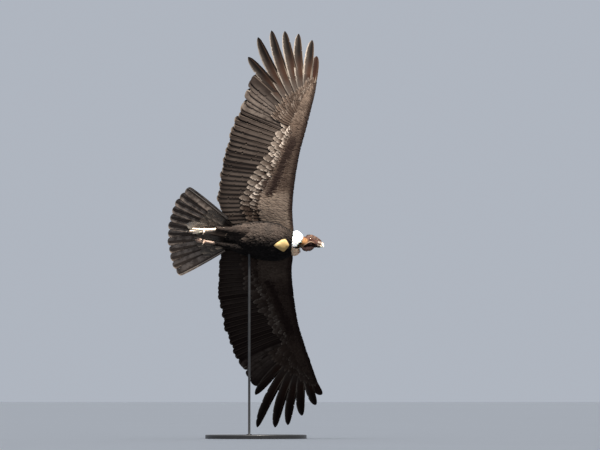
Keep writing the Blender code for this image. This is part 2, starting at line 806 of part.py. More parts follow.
def wing_core(name, side, grow=0.0):
    """Arm and hand with their small feathers: a long round-fronted body, thin at its back."""
    rings = []
    stations = [row[0] for row in WING_CORE]
    for s in stations:
        lead = LEAD[side](s)
        length = CORE_REACH(s) * (lead - TRAIL[side](s))
        upper = []
        lower = []
        for v in CORE_CHORD_STEPS:
            x = lead - v * length + grow
            half = max(CORE_THICK(s) / 2 * flesh_half(v), CORE_EDGE / 2 if v > 0 else 0.0) + grow
            middle = wing_height(side, x, s)
            upper.append(Vector((x, side * s, middle + half)))
            lower.append(Vector((x, side * s, middle - half)))
        rings.append(list(reversed(upper)) + lower[1:])
    return loft(name, rings, "black_feather")


def wing_vane(name, side, root, tip, width, profile, lift, thick, up=0.0, free=0.0, bow=0.0):
    """A feather from root to tip, both (forward, out), lying on the wing's surface.

    Its outer edge is tilted up, so that each feather clears the next one in."""
    along_x = tip[0] - root[0]
    along_s = tip[1] - root[1]
    length = sqrt(along_x ** 2 + along_s ** 2)
    out_x = along_s / length
    out_s = -along_x / length
    left = []
    right = []
    thicks = []
    for t, share in profile:
        bend = bow * 4 * t * (1 - t)
        x = root[0] + along_x * t + out_x * bend
        s = root[1] + along_s * t + out_s * bend
        ease = (max(t - free, 0.0) / (1 - free)) ** 1.5
        for edge, row in ((-0.56, left), (0.44, right)):
            reach = edge * width * share
            ex = x + out_x * reach
            es = s + out_s * reach
            z = wing_height(side, ex, es) + lift + LOUVRE * reach + up * ease
            row.append(Vector((ex, side * es, z)))
        thicks.append(thick * (1.0 if t < 0.95 else 0.6))
    return strip(name, left, right, thicks, "black_feather")


def arm_ray(side, u):
    """Where a feather of the arm grows and ends: u is 0 by the body and 1 at the wrist."""
    root_s = SECONDARY_ROOTS[0] + (SECONDARY_ROOTS[1] - SECONDARY_ROOTS[0]) * u
    tip_s = SECONDARY_TIPS[0] + (SECONDARY_TIPS[1] - SECONDARY_TIPS[0]) * u ** 1.08
    lead = LEAD[side](root_s)
    chord = lead - TRAIL[side](root_s)
    root = (lead - 0.14 * chord, root_s)
    return root, (TRAIL[side](tip_s), tip_s)


def along(ray, q):
    (ax, a), (bx, b) = ray
    return (ax + (bx - ax) * q, a + (b - a) * q)


def arm_vanes(side):
    draw = random.Random(31)
    vanes = []
    for i in range(SECONDARIES):
        u = i / (SECONDARIES - 1)
        ray = arm_ray(side, u)
        tip = along(ray, 1.0 + draw.uniform(-0.012, 0.012))
        inner, outer = SECONDARY_STARTS
        start = along(ray, inner + (outer - inner) * u)
        vanes.append(wing_vane(f"secondary_{i}", side, start, tip, SECONDARY_WIDTH, BROAD_VANE,
                               0.0, FLIGHT_THICK))
    rows = ((UNDER_GREATER, -1.0, 0.076, COVERT_VANE), (UNDER_MEDIAN, -1.9, 0.130, SHORT_VANE),
            (UPPER_GREATER, 1.0, 0.082, COVERT_VANE))
    for tier, (row, level, width, profile) in enumerate(rows):
        count, start, inner, outer = row
        for i in range(count):
            u = (i + 0.5) / count
            ray = arm_ray(side, u)
            reach = inner + (outer - inner) * u + draw.uniform(-0.01, 0.01)
            vanes.append(wing_vane(f"covert_{tier}_{i}", side, along(ray, start), along(ray, reach),
                                   width, profile, level * TIER_STEP, COVERT_THICK))
    return vanes


def finger_root(side, k):
    """Root of flight feather k of the hand, 0 innermost, in (forward, out)."""
    u = k / 9
    s = HAND_ROOTS[0] + (HAND_ROOTS[1] - HAND_ROOTS[0]) * u
    c = HAND_ROOT_CHORD[0] + (HAND_ROOT_CHORD[1] - HAND_ROOT_CHORD[0]) * u
    lead = LEAD[side](s)
    return (lead - c * (lead - TRAIL[side](s)), s)


def back_along(root, tip, distance):
    """The point that far ahead of the root, on the far side from the tip."""
    ray = (root, tip)
    length = sqrt((tip[0] - root[0]) ** 2 + (tip[1] - root[1]) ** 2)
    return along(ray, -distance / length)


def hand_vanes(side, label):
    draw = random.Random(41)
    vanes = []
    for k, (forward, out, up, bow, width) in enumerate(FINGERS[label]):
        root = finger_root(side, k)
        tip = (forward, out)
        lift = up - wing_height(side, forward, out)
        profile = FINGER_VANE if k > 2 else BROAD_VANE
        start = back_along(root, tip, 0.030)
        vanes.append(wing_vane(f"finger_{k}", side, start, tip, width, profile,
                               0.0, FLIGHT_THICK, lift, FINGER_FREE, bow))
        if k % 2 or k > 7:
            continue
        for level, reach in ((-1.0, 0.30), (1.0, 0.36)):
            after = FINGERS[label][k + 2] if k < 8 else FINGERS[label][k + 1]
            near = along((root, finger_root(side, k + 2)), 0.5)
            far = along((tip, after[:2]), 0.5)
            ray = (back_along(near, far, 0.040), far)
            length = sqrt((ray[1][0] - ray[0][0]) ** 2 + (ray[1][1] - ray[0][1]) ** 2)
            q = (0.150 + draw.uniform(-0.008, 0.008)) / length
            vanes.append(wing_vane(f"hand_covert_{level}_{k}", side, ray[0], along(ray, q * (reach / 0.33)),
                                   0.072, COVERT_VANE, level * TIER_STEP * 0.8, COVERT_THICK))
    return vanes


def alula_vanes(side):
    """The three small stiff feathers of the thumb, laid along the hand's leading edge."""
    vanes = []
    for i in range(ALULA):
        s = 0.812 + 0.022 * i
        root = (LEAD[side](s) - 0.018 - 0.014 * (ALULA - i), s)
        tip_s = s + 0.135 + 0.012 * i
        tip = (LEAD[side](tip_s) - 0.004 - 0.015 * (ALULA - 1 - i), tip_s)
        vanes.append(wing_vane(f"alula_{i}", side, root, tip, 0.022, COVERT_VANE,
                               0.0085 + 0.0028 * i, COVERT_THICK))
    return vanes


def wrist_box(name, side, outer):
    """A large block on one side of the cut through the wrist."""
    fx, fs = WRIST_FRONT
    bx, bs = WRIST_BACK
    along_cut = Vector((bx - fx, bs - fs, 0)).normalized()
    away = Vector((-along_cut.y, along_cut.x, 0))
    if away.y < 0:
        away = -away
    if not outer:
        away = -away
    front = Vector((fx, fs, 0)) - along_cut * 1.0 - away * GAP / 2
    back = Vector((bx, bs, 0)) + along_cut * 1.0 - away * GAP / 2
    ring = []
    for p in (front, back, back + away * 1.6, front + away * 1.6):
        ring.append(Vector((p.x, side * p.y, 0)))
    low = [p + Vector((0, 0, -1.0)) for p in ring]
    high = [p + Vector((0, 0, 1.0)) for p in ring]
    return loft(name, [low, high], "black_feather")


def duplicate(thing, name):
    copy = bpy.data.objects.new(name, thing.data.copy())
    parts.objects.link(copy)
    return copy


def wing_bodies(side, label):
    """One wing made whole, then parted at the wrist with a thin cut."""
    arm = wing_core("wing_core", side)
    combine(arm, arm_vanes(side) + hand_vanes(side, label) + alula_vanes(side), "UNION")
    hand = duplicate(arm, f"wing_hand_{label}")
    arm.name = f"wing_arm_{label}"
    combine(hand, [wrist_box("inner", side, False)], "DIFFERENCE")
    combine(arm, [wrist_box("outer", side, True), torso_body("torso_room", GAP)], "DIFFERENCE")
    for thing in (arm, hand):
        soften(thing, 30)
    return [arm, hand]


# Tail

def tail_way(angle):
    """A level direction of the fan: 0 is back along its axis, a quarter turn is the bird's left."""
    turn = angle - TAIL_AXIS
    return Vector((-cos(turn), sin(turn), 0.0))


def tail_vane(name, share, reach, width, profile, level, thick, tilt):
    """One feather of the fan, its root set across the tail's root by the same share as its turn."""
    way = tail_way(share * TAIL_SPREAD)
    across = tail_way(share * TAIL_SPREAD + pi / 2)
    root = TAIL_ROOT + tail_way(pi / 2) * share * TAIL_BREADTH
    left = []
    right = []
    for t, full in profile:
        distance = TAIL_START + (reach - TAIL_START) * t
        z = level - TAIL_DROP * (distance / TAIL_LENGTH) ** 2
        middle = root + way * distance + Vector((0, 0, z))
        half = across * width * full / 2 + Vector((0, 0, tilt * width * full / 2))
        left.append(middle - half)
        right.append(middle + half)
    return strip(name, left, right, [thick] * len(left), "black_feather")


def tail_body():
    """Twelve long feathers in a fan, the middle pair on top, with coverts above and below."""
    rings = []
    for distance, wide, high in TAIL_CORE:
        middle = TAIL_ROOT + tail_way(0.0) * distance
        middle.z += 0.004 - TAIL_DROP * (distance / TAIL_LENGTH) ** 2
        ring = []
        for across, up in oval(16, 2.2):
            ring.append(middle + tail_way(pi / 2) * across * wide + Vector((0, 0, up * high)))
        rings.append(ring)
    tail = loft("tail", rings, "black_feather")
    vanes = []
    draw = random.Random(51)
    for i in range(TAIL_FEATHERS):
        share = i / (TAIL_FEATHERS - 1) - 0.5
        rank = abs(share) * 2
        level = 0.008 - TAIL_STEP * (TAIL_FEATHERS / 2) * rank
        tilt = TAIL_TILT if share > 0 else -TAIL_TILT
        reach = TAIL_LENGTH * (1.0 - 0.050 * rank ** 3 + draw.uniform(-0.012, 0.012))
        vanes.append(tail_vane(f"rectrix_{i}", share, reach, TAIL_WIDTH, BROAD_VANE, level,
                               FLIGHT_THICK, tilt))
    for i in range(TAIL_COVERTS):
        share = (i + 0.5) / TAIL_COVERTS - 0.5
        reach = UNDER_TAIL_LENGTH * (1.0 - 0.35 * abs(share)) + draw.uniform(-0.01, 0.01)
        vanes.append(tail_vane(f"under_{i}", share, reach, TAIL_COVERT_WIDTH, COVERT_VANE,
                               -0.0135 - 0.0026 * (i % 2), COVERT_THICK, 0.0))
        reach = UPPER_TAIL_LENGTH * (1.0 - 0.30 * abs(share))
        vanes.append(tail_vane(f"upper_{i}", share, reach, TAIL_COVERT_WIDTH, COVERT_VANE,
                               0.0130 + 0.0026 * (i % 2), COVERT_THICK, 0.0))
    combine(tail, vanes, "UNION")
    combine(tail, [torso_body("torso_room", GAP)], "DIFFERENCE")
    soften(tail, 30)
    return tail


# Legs

def leg_bodies(label):
    """Thigh, shank and foot with its claws, stretched back under the tail."""
    hip, ankle, foot, tips = LEGS[label]
    made = []
    path = [hip.lerp(ankle, t) for t in spread(0.0, 1.0, 7)]
    radii = []
    for t in spread(0.0, 1.0, 7):
        swell = sin(pi * min(1.0, 0.30 + 0.55 * t)) ** 0.5
        radii.append(THIGH_RADII[0] * swell * (1 - t) + THIGH_RADII[1] * t)
    thigh = tube(f"thigh_{label}", path, radii, "torso_feather", 12)
    combine(thigh, [torso_body("torso_room", GAP)], "DIFFERENCE")
    made.append(thigh)
    ahead = (foot - ankle).normalized()
    start = ankle + ahead * GAP * 2
    leave = (ankle - hip).normalized()
    path = [start.lerp(foot, t) for t in spread(0.0, 1.0, 5)]
    radii = [TARSUS_RADIUS * k for k in (1.25, 0.98, 0.92, 0.98, 1.15)]
    tarsus = tube(f"tarsus_{label}", path, radii, "leg_scales", 10)
    room = tube("thigh_room", [hip, ankle + leave * GAP], [THIGH_RADII[1] + 0.02, THIGH_RADII[1] + 0.02],
                "torso_feather", 12)
    combine(tarsus, [room], "DIFFERENCE")
    made.append(tarsus)
    made += foot_bodies(label, foot + ahead * GAP * 2, ahead, tips)
    for thing in made:
        soften(thing, 50)
    return made


def foot_bodies(label, root, ahead, tips):
    """A palm with three long toes laid back and a short hind toe, each with its own claw."""
    reach = (tips - root).length
    aim = (tips - root).normalized()
    up = Vector((0, 0, 1))
    across = aim.cross(up).normalized()
    palm_path = [root + ahead * 0.030 * t for t in (0.0, 0.35, 0.7, 1.0)]
    palm = tube(f"foot_{label}", palm_path, [0.0130, 0.0165, 0.0160, 0.0105], "leg_scales", 10, flat=0.8)
    toes = []
    claws = []
    for i, (turn, length) in enumerate(zip(TOE_SPREADS, TOE_LENGTHS)):
        heading = (aim + across * turn).normalized()
        begin = root + ahead * 0.016 + across * turn * 0.035
        toe_length = (reach - CLAW_LENGTH) * length
        path = []
        for t in spread(0.0, 1.0, 6):
            path.append(begin + heading * toe_length * t - up * 0.006 * sin(pi * t))
        radii = [TOE_RADIUS * k for k in (1.05, 0.94, 1.06, 0.88, 0.98, 0.72)]
        toes.append(tube(f"toe_{i}", path, radii, "leg_scales", 6))
        end_way = (path[-1] - path[-2]).normalized()
        claws.append(claw(f"claw_{label}_{i + 1}", path[-1], end_way, -up))
    back_way = (aim * 0.10 - up * 0.75 + across * 0.2).normalized()
    begin = root + ahead * 0.014 - up * 0.003
    path = [begin + back_way * HIND_TOE_LENGTH * t for t in (0.0, 0.35, 0.7, 1.0)]
    toes.append(tube("hind_toe", path, [0.0068, 0.0066, 0.0060, 0.0052], "leg_scales", 6,
                     up=aim))
    claws.append(claw(f"claw_{label}_4", path[-1], (path[-1] - path[-2]).normalized(), aim * 0.6))
    combine(palm, toes, "UNION")
    return [palm, *claws]


def claw(name, root, ahead, bend):
    """A blunt curved claw that meets the end of its toe face to face."""
    path = []
    radii = []
    for t in (0.0, 0.12, 0.50, 1.0):
        curve = max(t - 0.12, 0.0)
        path.append(root + ahead * (2 * GAP + CLAW_LENGTH * t) + bend * 0.012 * curve * curve)
        radii.append(CLAW_RADIUS * (1 - 0.86 * t ** 1.6))
    return tube(name, path, radii, "claw_dark", 6, up=ahead.orthogonal())


# Stand, in the floor's frame

def stand_bodies(frame):
    """A round base and one rod that meets the belly's flank."""
    bpy.ops.mesh.primitive_cylinder_add(
        vertices=BASE_SIDES, radius=BASE_RADIUS, depth=BASE_THICK, location=(0, 0, BASE_THICK / 2)
    )
    base = bpy.context.object
    base.name = "stand_base"
    base.data.materials.append(material("stand_black"))
    edge = base.modifiers.new("edge", "BEVEL")
    edge.width = BASE_EDGE
    edge.segments = 1
    edge.limit_method = "ANGLE"
    for holder in list(base.users_collection):
        holder.objects.unlink(base)
    parts.objects.link(base)
    path = [Vector((ROD_X, ROD_Y, z)) for z in (BASE_THICK + GAP, BIRD_HEIGHT)]
    rod = tube("stand_rod", path, [ROD_RADIUS] * 2, "stand_black", 20, up=Vector((1, 0, 0)))
    room = torso_body("torso_room", GAP)
    room.data.transform(frame)
    combine(rod, [room], "DIFFERENCE")
    for thing in (base, rod):
        soften(thing, 40)
    return [base, rod]


def hang(things, holder):
    for thing in things:
        thing.parent = holder


def empty(name, matrix, holder=None):
    frame = bpy.data.objects.new(name, None)
    parts.objects.link(frame)
    frame.parent = holder
    frame.matrix_local = matrix
    return frame


def build():
    bird_matrix = Matrix.Translation((0, 0, BIRD_HEIGHT)) @ Matrix.Rotation(-BANK, 4, "X")
    stand_bodies(bird_matrix)
    bird = empty("bird_frame", bird_matrix)
    head_frame = empty("head_frame", head_matrix(), bird)
    torso = torso_body("torso")
    neck = neck_body("neck")
    soften(torso, 60)
    soften(neck, 60)
    body = [torso, neck, ruff_body(), tail_body()]
    for side, label in ((1, "L"), (-1, "R")):
        body += wing_bodies(side, label)
        body += leg_bodies(label)
    hang(body, bird)
    upper = bill_half("bill_upper", UPPER_BILL_SECTIONS, True)
    lower = bill_half("bill_lower", LOWER_BILL_SECTIONS, False)
    head = head_body()
    eyes = []
    for side, label in ((1, "L"), (-1, "R")):
        place = Vector((EYE_PLACE[0], side * EYE_PLACE[1], EYE_PLACE[2]))
        eyes.append(ellipsoid(f"eye_{label}", place, [EYE_RADIUS] * 3, "eye_brown", 2))
    for thing in (upper, lower, *eyes):
        soften(thing, 50)
    hang([head, upper, lower, *eyes], head_frame)


clear_scene()
parts = bpy.data.collections.new("andean_condor")
bpy.context.scene.collection.children.link(parts)
build()
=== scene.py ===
"""Looks of the Andean condor on its stand: skin, feathers, bill, claws, stand, floor and light.

All shapes are made in the bird's own frame, +X forward, +Y to its left, +Z up through its back,
and are then banked over the stand, as its solids are. All sizes are in metres.
"""

import json
from math import atan, cos, pi, radians, sin, tan

import bpy
import numpy as np
from mathutils import Matrix, Vector

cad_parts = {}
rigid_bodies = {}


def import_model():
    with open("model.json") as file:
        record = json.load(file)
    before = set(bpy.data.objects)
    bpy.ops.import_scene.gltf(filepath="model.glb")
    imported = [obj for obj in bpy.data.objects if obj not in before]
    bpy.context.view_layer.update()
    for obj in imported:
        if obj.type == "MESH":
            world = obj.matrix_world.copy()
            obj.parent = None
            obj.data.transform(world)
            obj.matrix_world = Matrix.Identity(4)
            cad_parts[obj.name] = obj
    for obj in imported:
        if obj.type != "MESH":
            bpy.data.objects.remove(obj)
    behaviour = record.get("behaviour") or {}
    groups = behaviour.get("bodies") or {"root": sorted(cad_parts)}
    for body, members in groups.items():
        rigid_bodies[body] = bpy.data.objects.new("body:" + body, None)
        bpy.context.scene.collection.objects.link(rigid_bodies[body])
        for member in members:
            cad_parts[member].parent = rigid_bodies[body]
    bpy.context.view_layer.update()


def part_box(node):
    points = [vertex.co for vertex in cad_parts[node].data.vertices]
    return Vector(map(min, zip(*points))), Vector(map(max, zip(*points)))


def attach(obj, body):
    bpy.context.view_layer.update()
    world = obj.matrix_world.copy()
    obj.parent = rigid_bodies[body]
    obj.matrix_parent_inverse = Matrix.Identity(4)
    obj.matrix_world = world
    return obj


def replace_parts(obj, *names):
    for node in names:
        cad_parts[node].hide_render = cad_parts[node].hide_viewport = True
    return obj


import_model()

# The bird's own sizes, as its solids have them
HALF_SPAN = 1.54
BODY_YAW = radians(5.0)
BANK = radians(74.0)
BIRD_HEIGHT = 1.49
BASE_RADIUS = 0.38
BASE_THICK = 0.03
ROD_RADIUS = 0.009
ROD_X = -0.05
ROD_Y = -0.05

TORSO_SECTIONS = [
    (-0.240, 0.048, 0.036, 0.036), (-0.205, 0.072, 0.058, 0.050), (-0.130, 0.104, 0.092, 0.074),
    (-0.030, 0.130, 0.120, 0.094), (0.070, 0.143, 0.137, 0.103), (0.150, 0.142, 0.140, 0.100),
    (0.205, 0.126, 0.122, 0.091), (0.250, 0.102, 0.096, 0.078), (0.278, 0.082, 0.076, 0.066),
    (0.290, 0.066, 0.062, 0.056),
]
NECK_RADIUS = 0.044
HEAD_CENTRE = Vector((0.395, 0.024, 0.0))
HEAD_ROLL = radians(38.0)
HEAD_PITCH = radians(10.0)
HEAD_SECTIONS = [
    (-0.052, 0.040, 0.039, 0.045), (-0.034, 0.043, 0.043, 0.047), (-0.010, 0.0425, 0.044, 0.044),
    (0.008, 0.0390, 0.042, 0.039), (0.024, 0.0315, 0.038, 0.034), (0.040, 0.0245, 0.034, 0.030),
    (0.056, 0.0200, 0.031, 0.027), (0.068, 0.0175, 0.029, 0.0245),
]
MOUTH_HEIGHT = -0.008
MOUTH_CORNER = 0.018
EYE_PLACE = (0.009, 0.0335, 0.010)
EYE_RADIUS = 0.0092
EAR_PLACE = (-0.024, 0.0425, -0.006)
NOSTRIL_PLACE = (0.050, 0.0, 0.012)
UPPER_BILL_SECTIONS = [
    (0.0683, 0.0172, 0.0285, -0.0074), (0.0800, 0.0158, 0.0278, -0.0085),
    (0.0920, 0.0138, 0.0250, -0.0100), (0.1040, 0.0112, 0.0180, -0.0130),
    (0.1130, 0.0082, 0.0070, -0.0190), (0.1175, 0.0052, -0.0060, -0.0245),
    (0.1183, 0.0022, -0.0170, -0.0285),
]
LOWER_BILL_SECTIONS = [
    (0.0683, 0.0165, -0.0085, -0.0242), (0.0800, 0.0146, -0.0096, -0.0238),
    (0.0910, 0.0118, -0.0112, -0.0228), (0.0990, 0.0080, -0.0136, -0.0214),
    (0.1035, 0.0036, -0.0162, -0.0200),
]
COMB_SECTIONS = [
    (0.094, 0.018, 0.0270, 0.0040), (0.086, 0.018, 0.0395, 0.0075), (0.072, 0.018, 0.0525, 0.0090),
    (0.054, 0.020, 0.0635, 0.0095), (0.034, 0.024, 0.0730, 0.0100), (0.012, 0.028, 0.0790, 0.0100),
    (-0.010, 0.028, 0.0775, 0.0095), (-0.026, 0.028, 0.0680, 0.0080),
    (-0.036, 0.028, 0.0530, 0.0050),
]
WATTLE_SECTIONS = [
    (0.046, -0.018, -0.0400, 0.0050), (0.034, -0.020, -0.0590, 0.0080),
    (0.016, -0.022, -0.0730, 0.0095), (-0.004, -0.024, -0.0780, 0.0105),
    (-0.022, -0.026, -0.0750, 0.0100), (-0.038, -0.026, -0.0660, 0.0080),
    (-0.047, -0.028, -0.0500, 0.0050),
]
RUFF_X = 0.296
RUFF_RADIUS = 0.068

LEADING_EDGE = {
    "R": [
        (0.06, 0.283), (0.15, 0.276), (0.23, 0.273), (0.32, 0.279), (0.40, 0.287),
        (0.48, 0.298), (0.56, 0.311), (0.64, 0.326), (0.71, 0.344), (0.78, 0.364),
        (0.86, 0.385), (0.93, 0.404), (1.00, 0.421), (1.08, 0.441), (1.16, 0.455),
    ],
    "L": [
        (0.06, 0.283), (0.15, 0.276), (0.23, 0.268), (0.32, 0.271), (0.40, 0.279),
        (0.48, 0.288), (0.56, 0.299), (0.64, 0.311), (0.71, 0.326), (0.78, 0.347),
        (0.86, 0.369), (0.93, 0.390), (1.00, 0.411), (1.08, 0.436), (1.16, 0.461),
    ],
}
TRAILING_EDGE = {
    "R": [
        (0.06, -0.200), (0.14, -0.226), (0.22, -0.265), (0.30, -0.286), (0.37, -0.287),
        (0.48, -0.270), (0.56, -0.254), (0.64, -0.238), (0.71, -0.220), (0.78, -0.197),
        (0.86, -0.172), (0.93, -0.145), (1.00, -0.106), (1.08, -0.072), (1.16, -0.040),
    ],
    "L": [
        (0.06, -0.236), (0.14, -0.264), (0.23, -0.279), (0.32, -0.286), (0.40, -0.290),
        (0.48, -0.280), (0.56, -0.267), (0.64, -0.253), (0.71, -0.238), (0.78, -0.219),
        (0.86, -0.192), (0.93, -0.163), (1.00, -0.129), (1.08, -0.092), (1.16, -0.048),
    ],
}
WING_ROOT_HEIGHT = 0.032
WING_RISE = 0.33
WING_RISE_START = 0.15
WING_RISE_POWER = 1.9
WING_CAMBER = 0.034
WING_CORE = [
    (0.050, 0.100, 0.62), (0.150, 0.084, 0.60), (0.250, 0.070, 0.55), (0.370, 0.057, 0.48),
    (0.520, 0.046, 0.41), (0.660, 0.040, 0.35), (0.780, 0.035, 0.32), (0.870, 0.030, 0.30),
    (0.980, 0.023, 0.28), (1.080, 0.016, 0.24), (1.135, 0.010, 0.16), (1.175, 0.005, 0.06),
]
SECONDARY_ROOTS = (0.135, 0.795)
SECONDARY_TIPS = (0.125, 0.985)
FINGERS = {
    "R": [
        (-0.096, 1.020, 0.150, 0.000, 0.074), (-0.072, 1.107, 0.170, -0.004, 0.074),
        (-0.041, 1.185, 0.190, -0.003, 0.074), (-0.058, 1.358, 0.215, -0.004, 0.077),
        (0.015, 1.500, 0.255, -0.028, 0.076), (0.116, 1.538, 0.320, -0.026, 0.077),
        (0.215, 1.527, 0.350, -0.012, 0.077), (0.319, 1.500, 0.385, -0.020, 0.072),
        (0.421, 1.448, 0.400, -0.011, 0.071), (0.456, 1.330, 0.375, 0.000, 0.070),
    ],
    "L": [
        (-0.106, 1.033, 0.150, 0.000, 0.074), (-0.068, 1.112, 0.170, 0.000, 0.074),
        (-0.028, 1.180, 0.190, -0.006, 0.074), (-0.010, 1.268, 0.215, -0.012, 0.075),
        (0.003, 1.538, 0.255, -0.028, 0.076), (0.139, 1.558, 0.320, -0.028, 0.078),
        (0.237, 1.548, 0.350, -0.018, 0.071), (0.345, 1.483, 0.385, -0.017, 0.071),
        (0.449, 1.403, 0.400, -0.007, 0.067), (0.494, 1.315, 0.375, -0.003, 0.067),
    ],
}
HAND_ROOTS = (0.868, 1.092)
HAND_ROOT_CHORD = (0.27, 0.07)
FINGER_FREE = 0.42
FLIGHT_THICK = 0.0011
COVERT_THICK = 0.0009
LOUVRE = tan(radians(3.4))
TIER_STEP = 0.0048

TAIL_ROOT = Vector((-0.165, -0.041, -0.012))
TAIL_AXIS = radians(5.7)
TAIL_SPREAD = radians(67.0)
TAIL_BREADTH = 0.130
TAIL_FEATHERS = 12
TAIL_LENGTH = 0.497
TAIL_START = 0.080
TAIL_WIDTH = 0.074
TAIL_DROP = 0.020
TAIL_TILT = 0.030
TAIL_CORE = [
    (0.018, 0.050, 0.028), (0.060, 0.082, 0.027), (0.095, 0.108, 0.022), (0.130, 0.118, 0.016),
    (0.160, 0.112, 0.011), (0.182, 0.090, 0.007), (0.194, 0.060, 0.004),
]
LEGS = {
    "R": (
        Vector((-0.055, -0.070, -0.058)), Vector((-0.262, -0.104, -0.082)),
        Vector((-0.372, -0.096, -0.077)), Vector((-0.522, -0.084, -0.068)),
    ),
    "L": (
        Vector((-0.070, 0.050, -0.062)), Vector((-0.272, 0.010, -0.084)),
        Vector((-0.374, -0.008, -0.078)), Vector((-0.476, -0.024, -0.066)),
    ),
}
THIGH_RADII = (0.046, 0.017)
TARSUS_RADIUS = 0.0115
TOE_SPREADS = (-0.14, 0.0, 0.14)
TOE_LENGTHS = (0.72, 0.90, 0.72)
TOE_RADIUS = 0.0085
HIND_TOE_LENGTH = 0.036
CLAW_LENGTH = 0.030
CLAW_RADIUS = 0.0046
GAP = 0.0003

# What the render adds: counts and depths
COAT_DEPTH = 0.005
SECONDARIES = 25
BODY_VOXEL = 0.0075
HEAD_VOXEL = 0.0012
FOOT_VOXEL = 0.0013
PATCH = 0.003
KEY_POWER = 82.0

TO_WORLD = Matrix.Translation((0, 0, BIRD_HEIGHT)) @ Matrix.Rotation(-BANK, 4, "X")
TURN = np.array(TO_WORLD)[:3, :3]
SHIFT = np.array(TO_WORLD)[:3, 3]
SIDES = {"L": 1, "R": -1}


# Curves, noise and small helpers

def spline(points):
    """A smooth curve through rising (x, y) points, straight past its ends."""
    points = sorted(points)
    xs = np.array([p[0] for p in points], float)
    ys = np.array([p[1] for p in points], float)
    last = len(points) - 1
    low = np.maximum(np.arange(last + 1) - 1, 0)
    high = np.minimum(np.arange(last + 1) + 1, last)
    slopes = (ys[high] - ys[low]) / (xs[high] - xs[low])

    def value(x):
        x = np.asarray(x, float)
        i = np.clip(np.searchsorted(xs, x, side="right") - 1, 0, last - 1)
        span = xs[i + 1] - xs[i]
        t = np.clip((x - xs[i]) / span, 0, 1)
        y = ys[i] * (1 + 2 * t) * (1 - t) ** 2 + slopes[i] * span * t * (1 - t) ** 2
        y = y + ys[i + 1] * t * t * (3 - 2 * t) + slopes[i + 1] * span * t * t * (t - 1)
        y = np.where(x < xs[0], ys[0] + slopes[0] * (x - xs[0]), y)
        return np.where(x > xs[last], ys[last] + slopes[last] * (x - xs[last]), y)

    return value


def columns(table):
    return [spline([(row[0], row[k]) for row in table]) for k in range(1, len(table[0]))]


def ease(low, high, x):
    t = np.clip((np.asarray(x, float) - low) / (high - low), 0, 1)
    return t * t * (3 - 2 * t)


def hashed(ix, iy, iz, seed):
    n = (ix * 374761393 + iy * 668265263 + iz * 1440662683 + seed * 1274126177) & 0xFFFFFFFF
    n = ((n ^ (n >> 13)) * 1274126177) & 0xFFFFFFFF
    return ((n ^ (n >> 16)) & 0xFFFFFF) / 16777215.0


def cloud(p, scale, seed=0):
    """Smooth noise between 0 and 1 at points p."""
    q = p * scale
    cell = np.floor(q).astype(np.int64)
    t = q - cell
    t = t * t * (3 - 2 * t)
    total = 0.0
    for dx in (0, 1):
        wx = t[..., 0] if dx else 1 - t[..., 0]
        for dy in (0, 1):
            wy = t[..., 1] if dy else 1 - t[..., 1]
            for dz in (0, 1):
                wz = t[..., 2] if dz else 1 - t[..., 2]
                value = hashed(cell[..., 0] + dx, cell[..., 1] + dy, cell[..., 2] + dz, seed)
                total = total + wx * wy * wz * value
    return total


def bubbles(p, scale, seed=0):
    """Distance to the nearest of many scattered points, about 0 to 1: round grains and scales."""
    q = p * scale
    cell = np.floor(q).astype(np.int64)
    best = np.full(q.shape[:-1], 9.0)
    for dx in (-1, 0, 1):
        for dy in (-1, 0, 1):
            for dz in (-1, 0, 1):
                ix, iy, iz = cell[..., 0] + dx, cell[..., 1] + dy, cell[..., 2] + dz
                gap = (q[..., 0] - ix - hashed(ix, iy, iz, seed)) ** 2
                gap += (q[..., 1] - iy - hashed(ix, iy, iz, seed + 7)) ** 2
                gap += (q[..., 2] - iz - hashed(ix, iy, iz, seed + 13)) ** 2
                best = np.minimum(best, gap)
    return np.sqrt(best)


def oval(sides, squareness=2.0):
    angle = 2 * pi * np.arange(sides) / sides
    across = np.sign(np.cos(angle)) * np.abs(np.cos(angle)) ** (2 / squareness)
    up = np.sign(np.sin(angle)) * np.abs(np.sin(angle)) ** (2 / squareness)
    return across, up


def array_of(matrix):
    return np.array(matrix)[:3, :3], np.array(matrix)[:3, 3]


def moved(points, matrix):
    turn, shift = array_of(matrix)
    return points @ turn.T + shift


# Meshes

def mesh_object(name, points, faces, smooth=60.0):
    """A mesh object in the world's frame from points in the bird's."""
    mesh = bpy.data.meshes.new(name)
    mesh.from_pydata((points @ TURN.T + SHIFT).tolist(), [], [tuple(f) for f in faces])
    mesh.validate()
    mesh.shade_smooth()
    mesh.set_sharp_from_angle(angle=radians(smooth))
    thing = bpy.data.objects.new(name, mesh)
    bpy.context.scene.collection.objects.link(thing)
    return thing


def loft(rings):
    """Points and faces of a closed body through rings of equal point count."""
    rings = [np.asarray(r, float) for r in rings]
    sides = len(rings[0])
    points = np.vstack(rings)
    faces = []
    for i in range(len(rings) - 1):
        for j in range(sides):
            k = (j + 1) % sides
            low = i * sides
            high = low + sides
            faces.append((low + j, low + k, high + k, high + j))
    for ring, start, flip in ((rings[0], 0, True), (rings[-1], len(points) - sides, False)):
        centre = ring.mean(axis=0)
        points = np.vstack([points, centre])
        hub = len(points) - 1
        for j in range(sides):
            k = (j + 1) % sides
            faces.append((start + k, start + j, hub) if flip else (start + j, start + k, hub))
    return points, faces


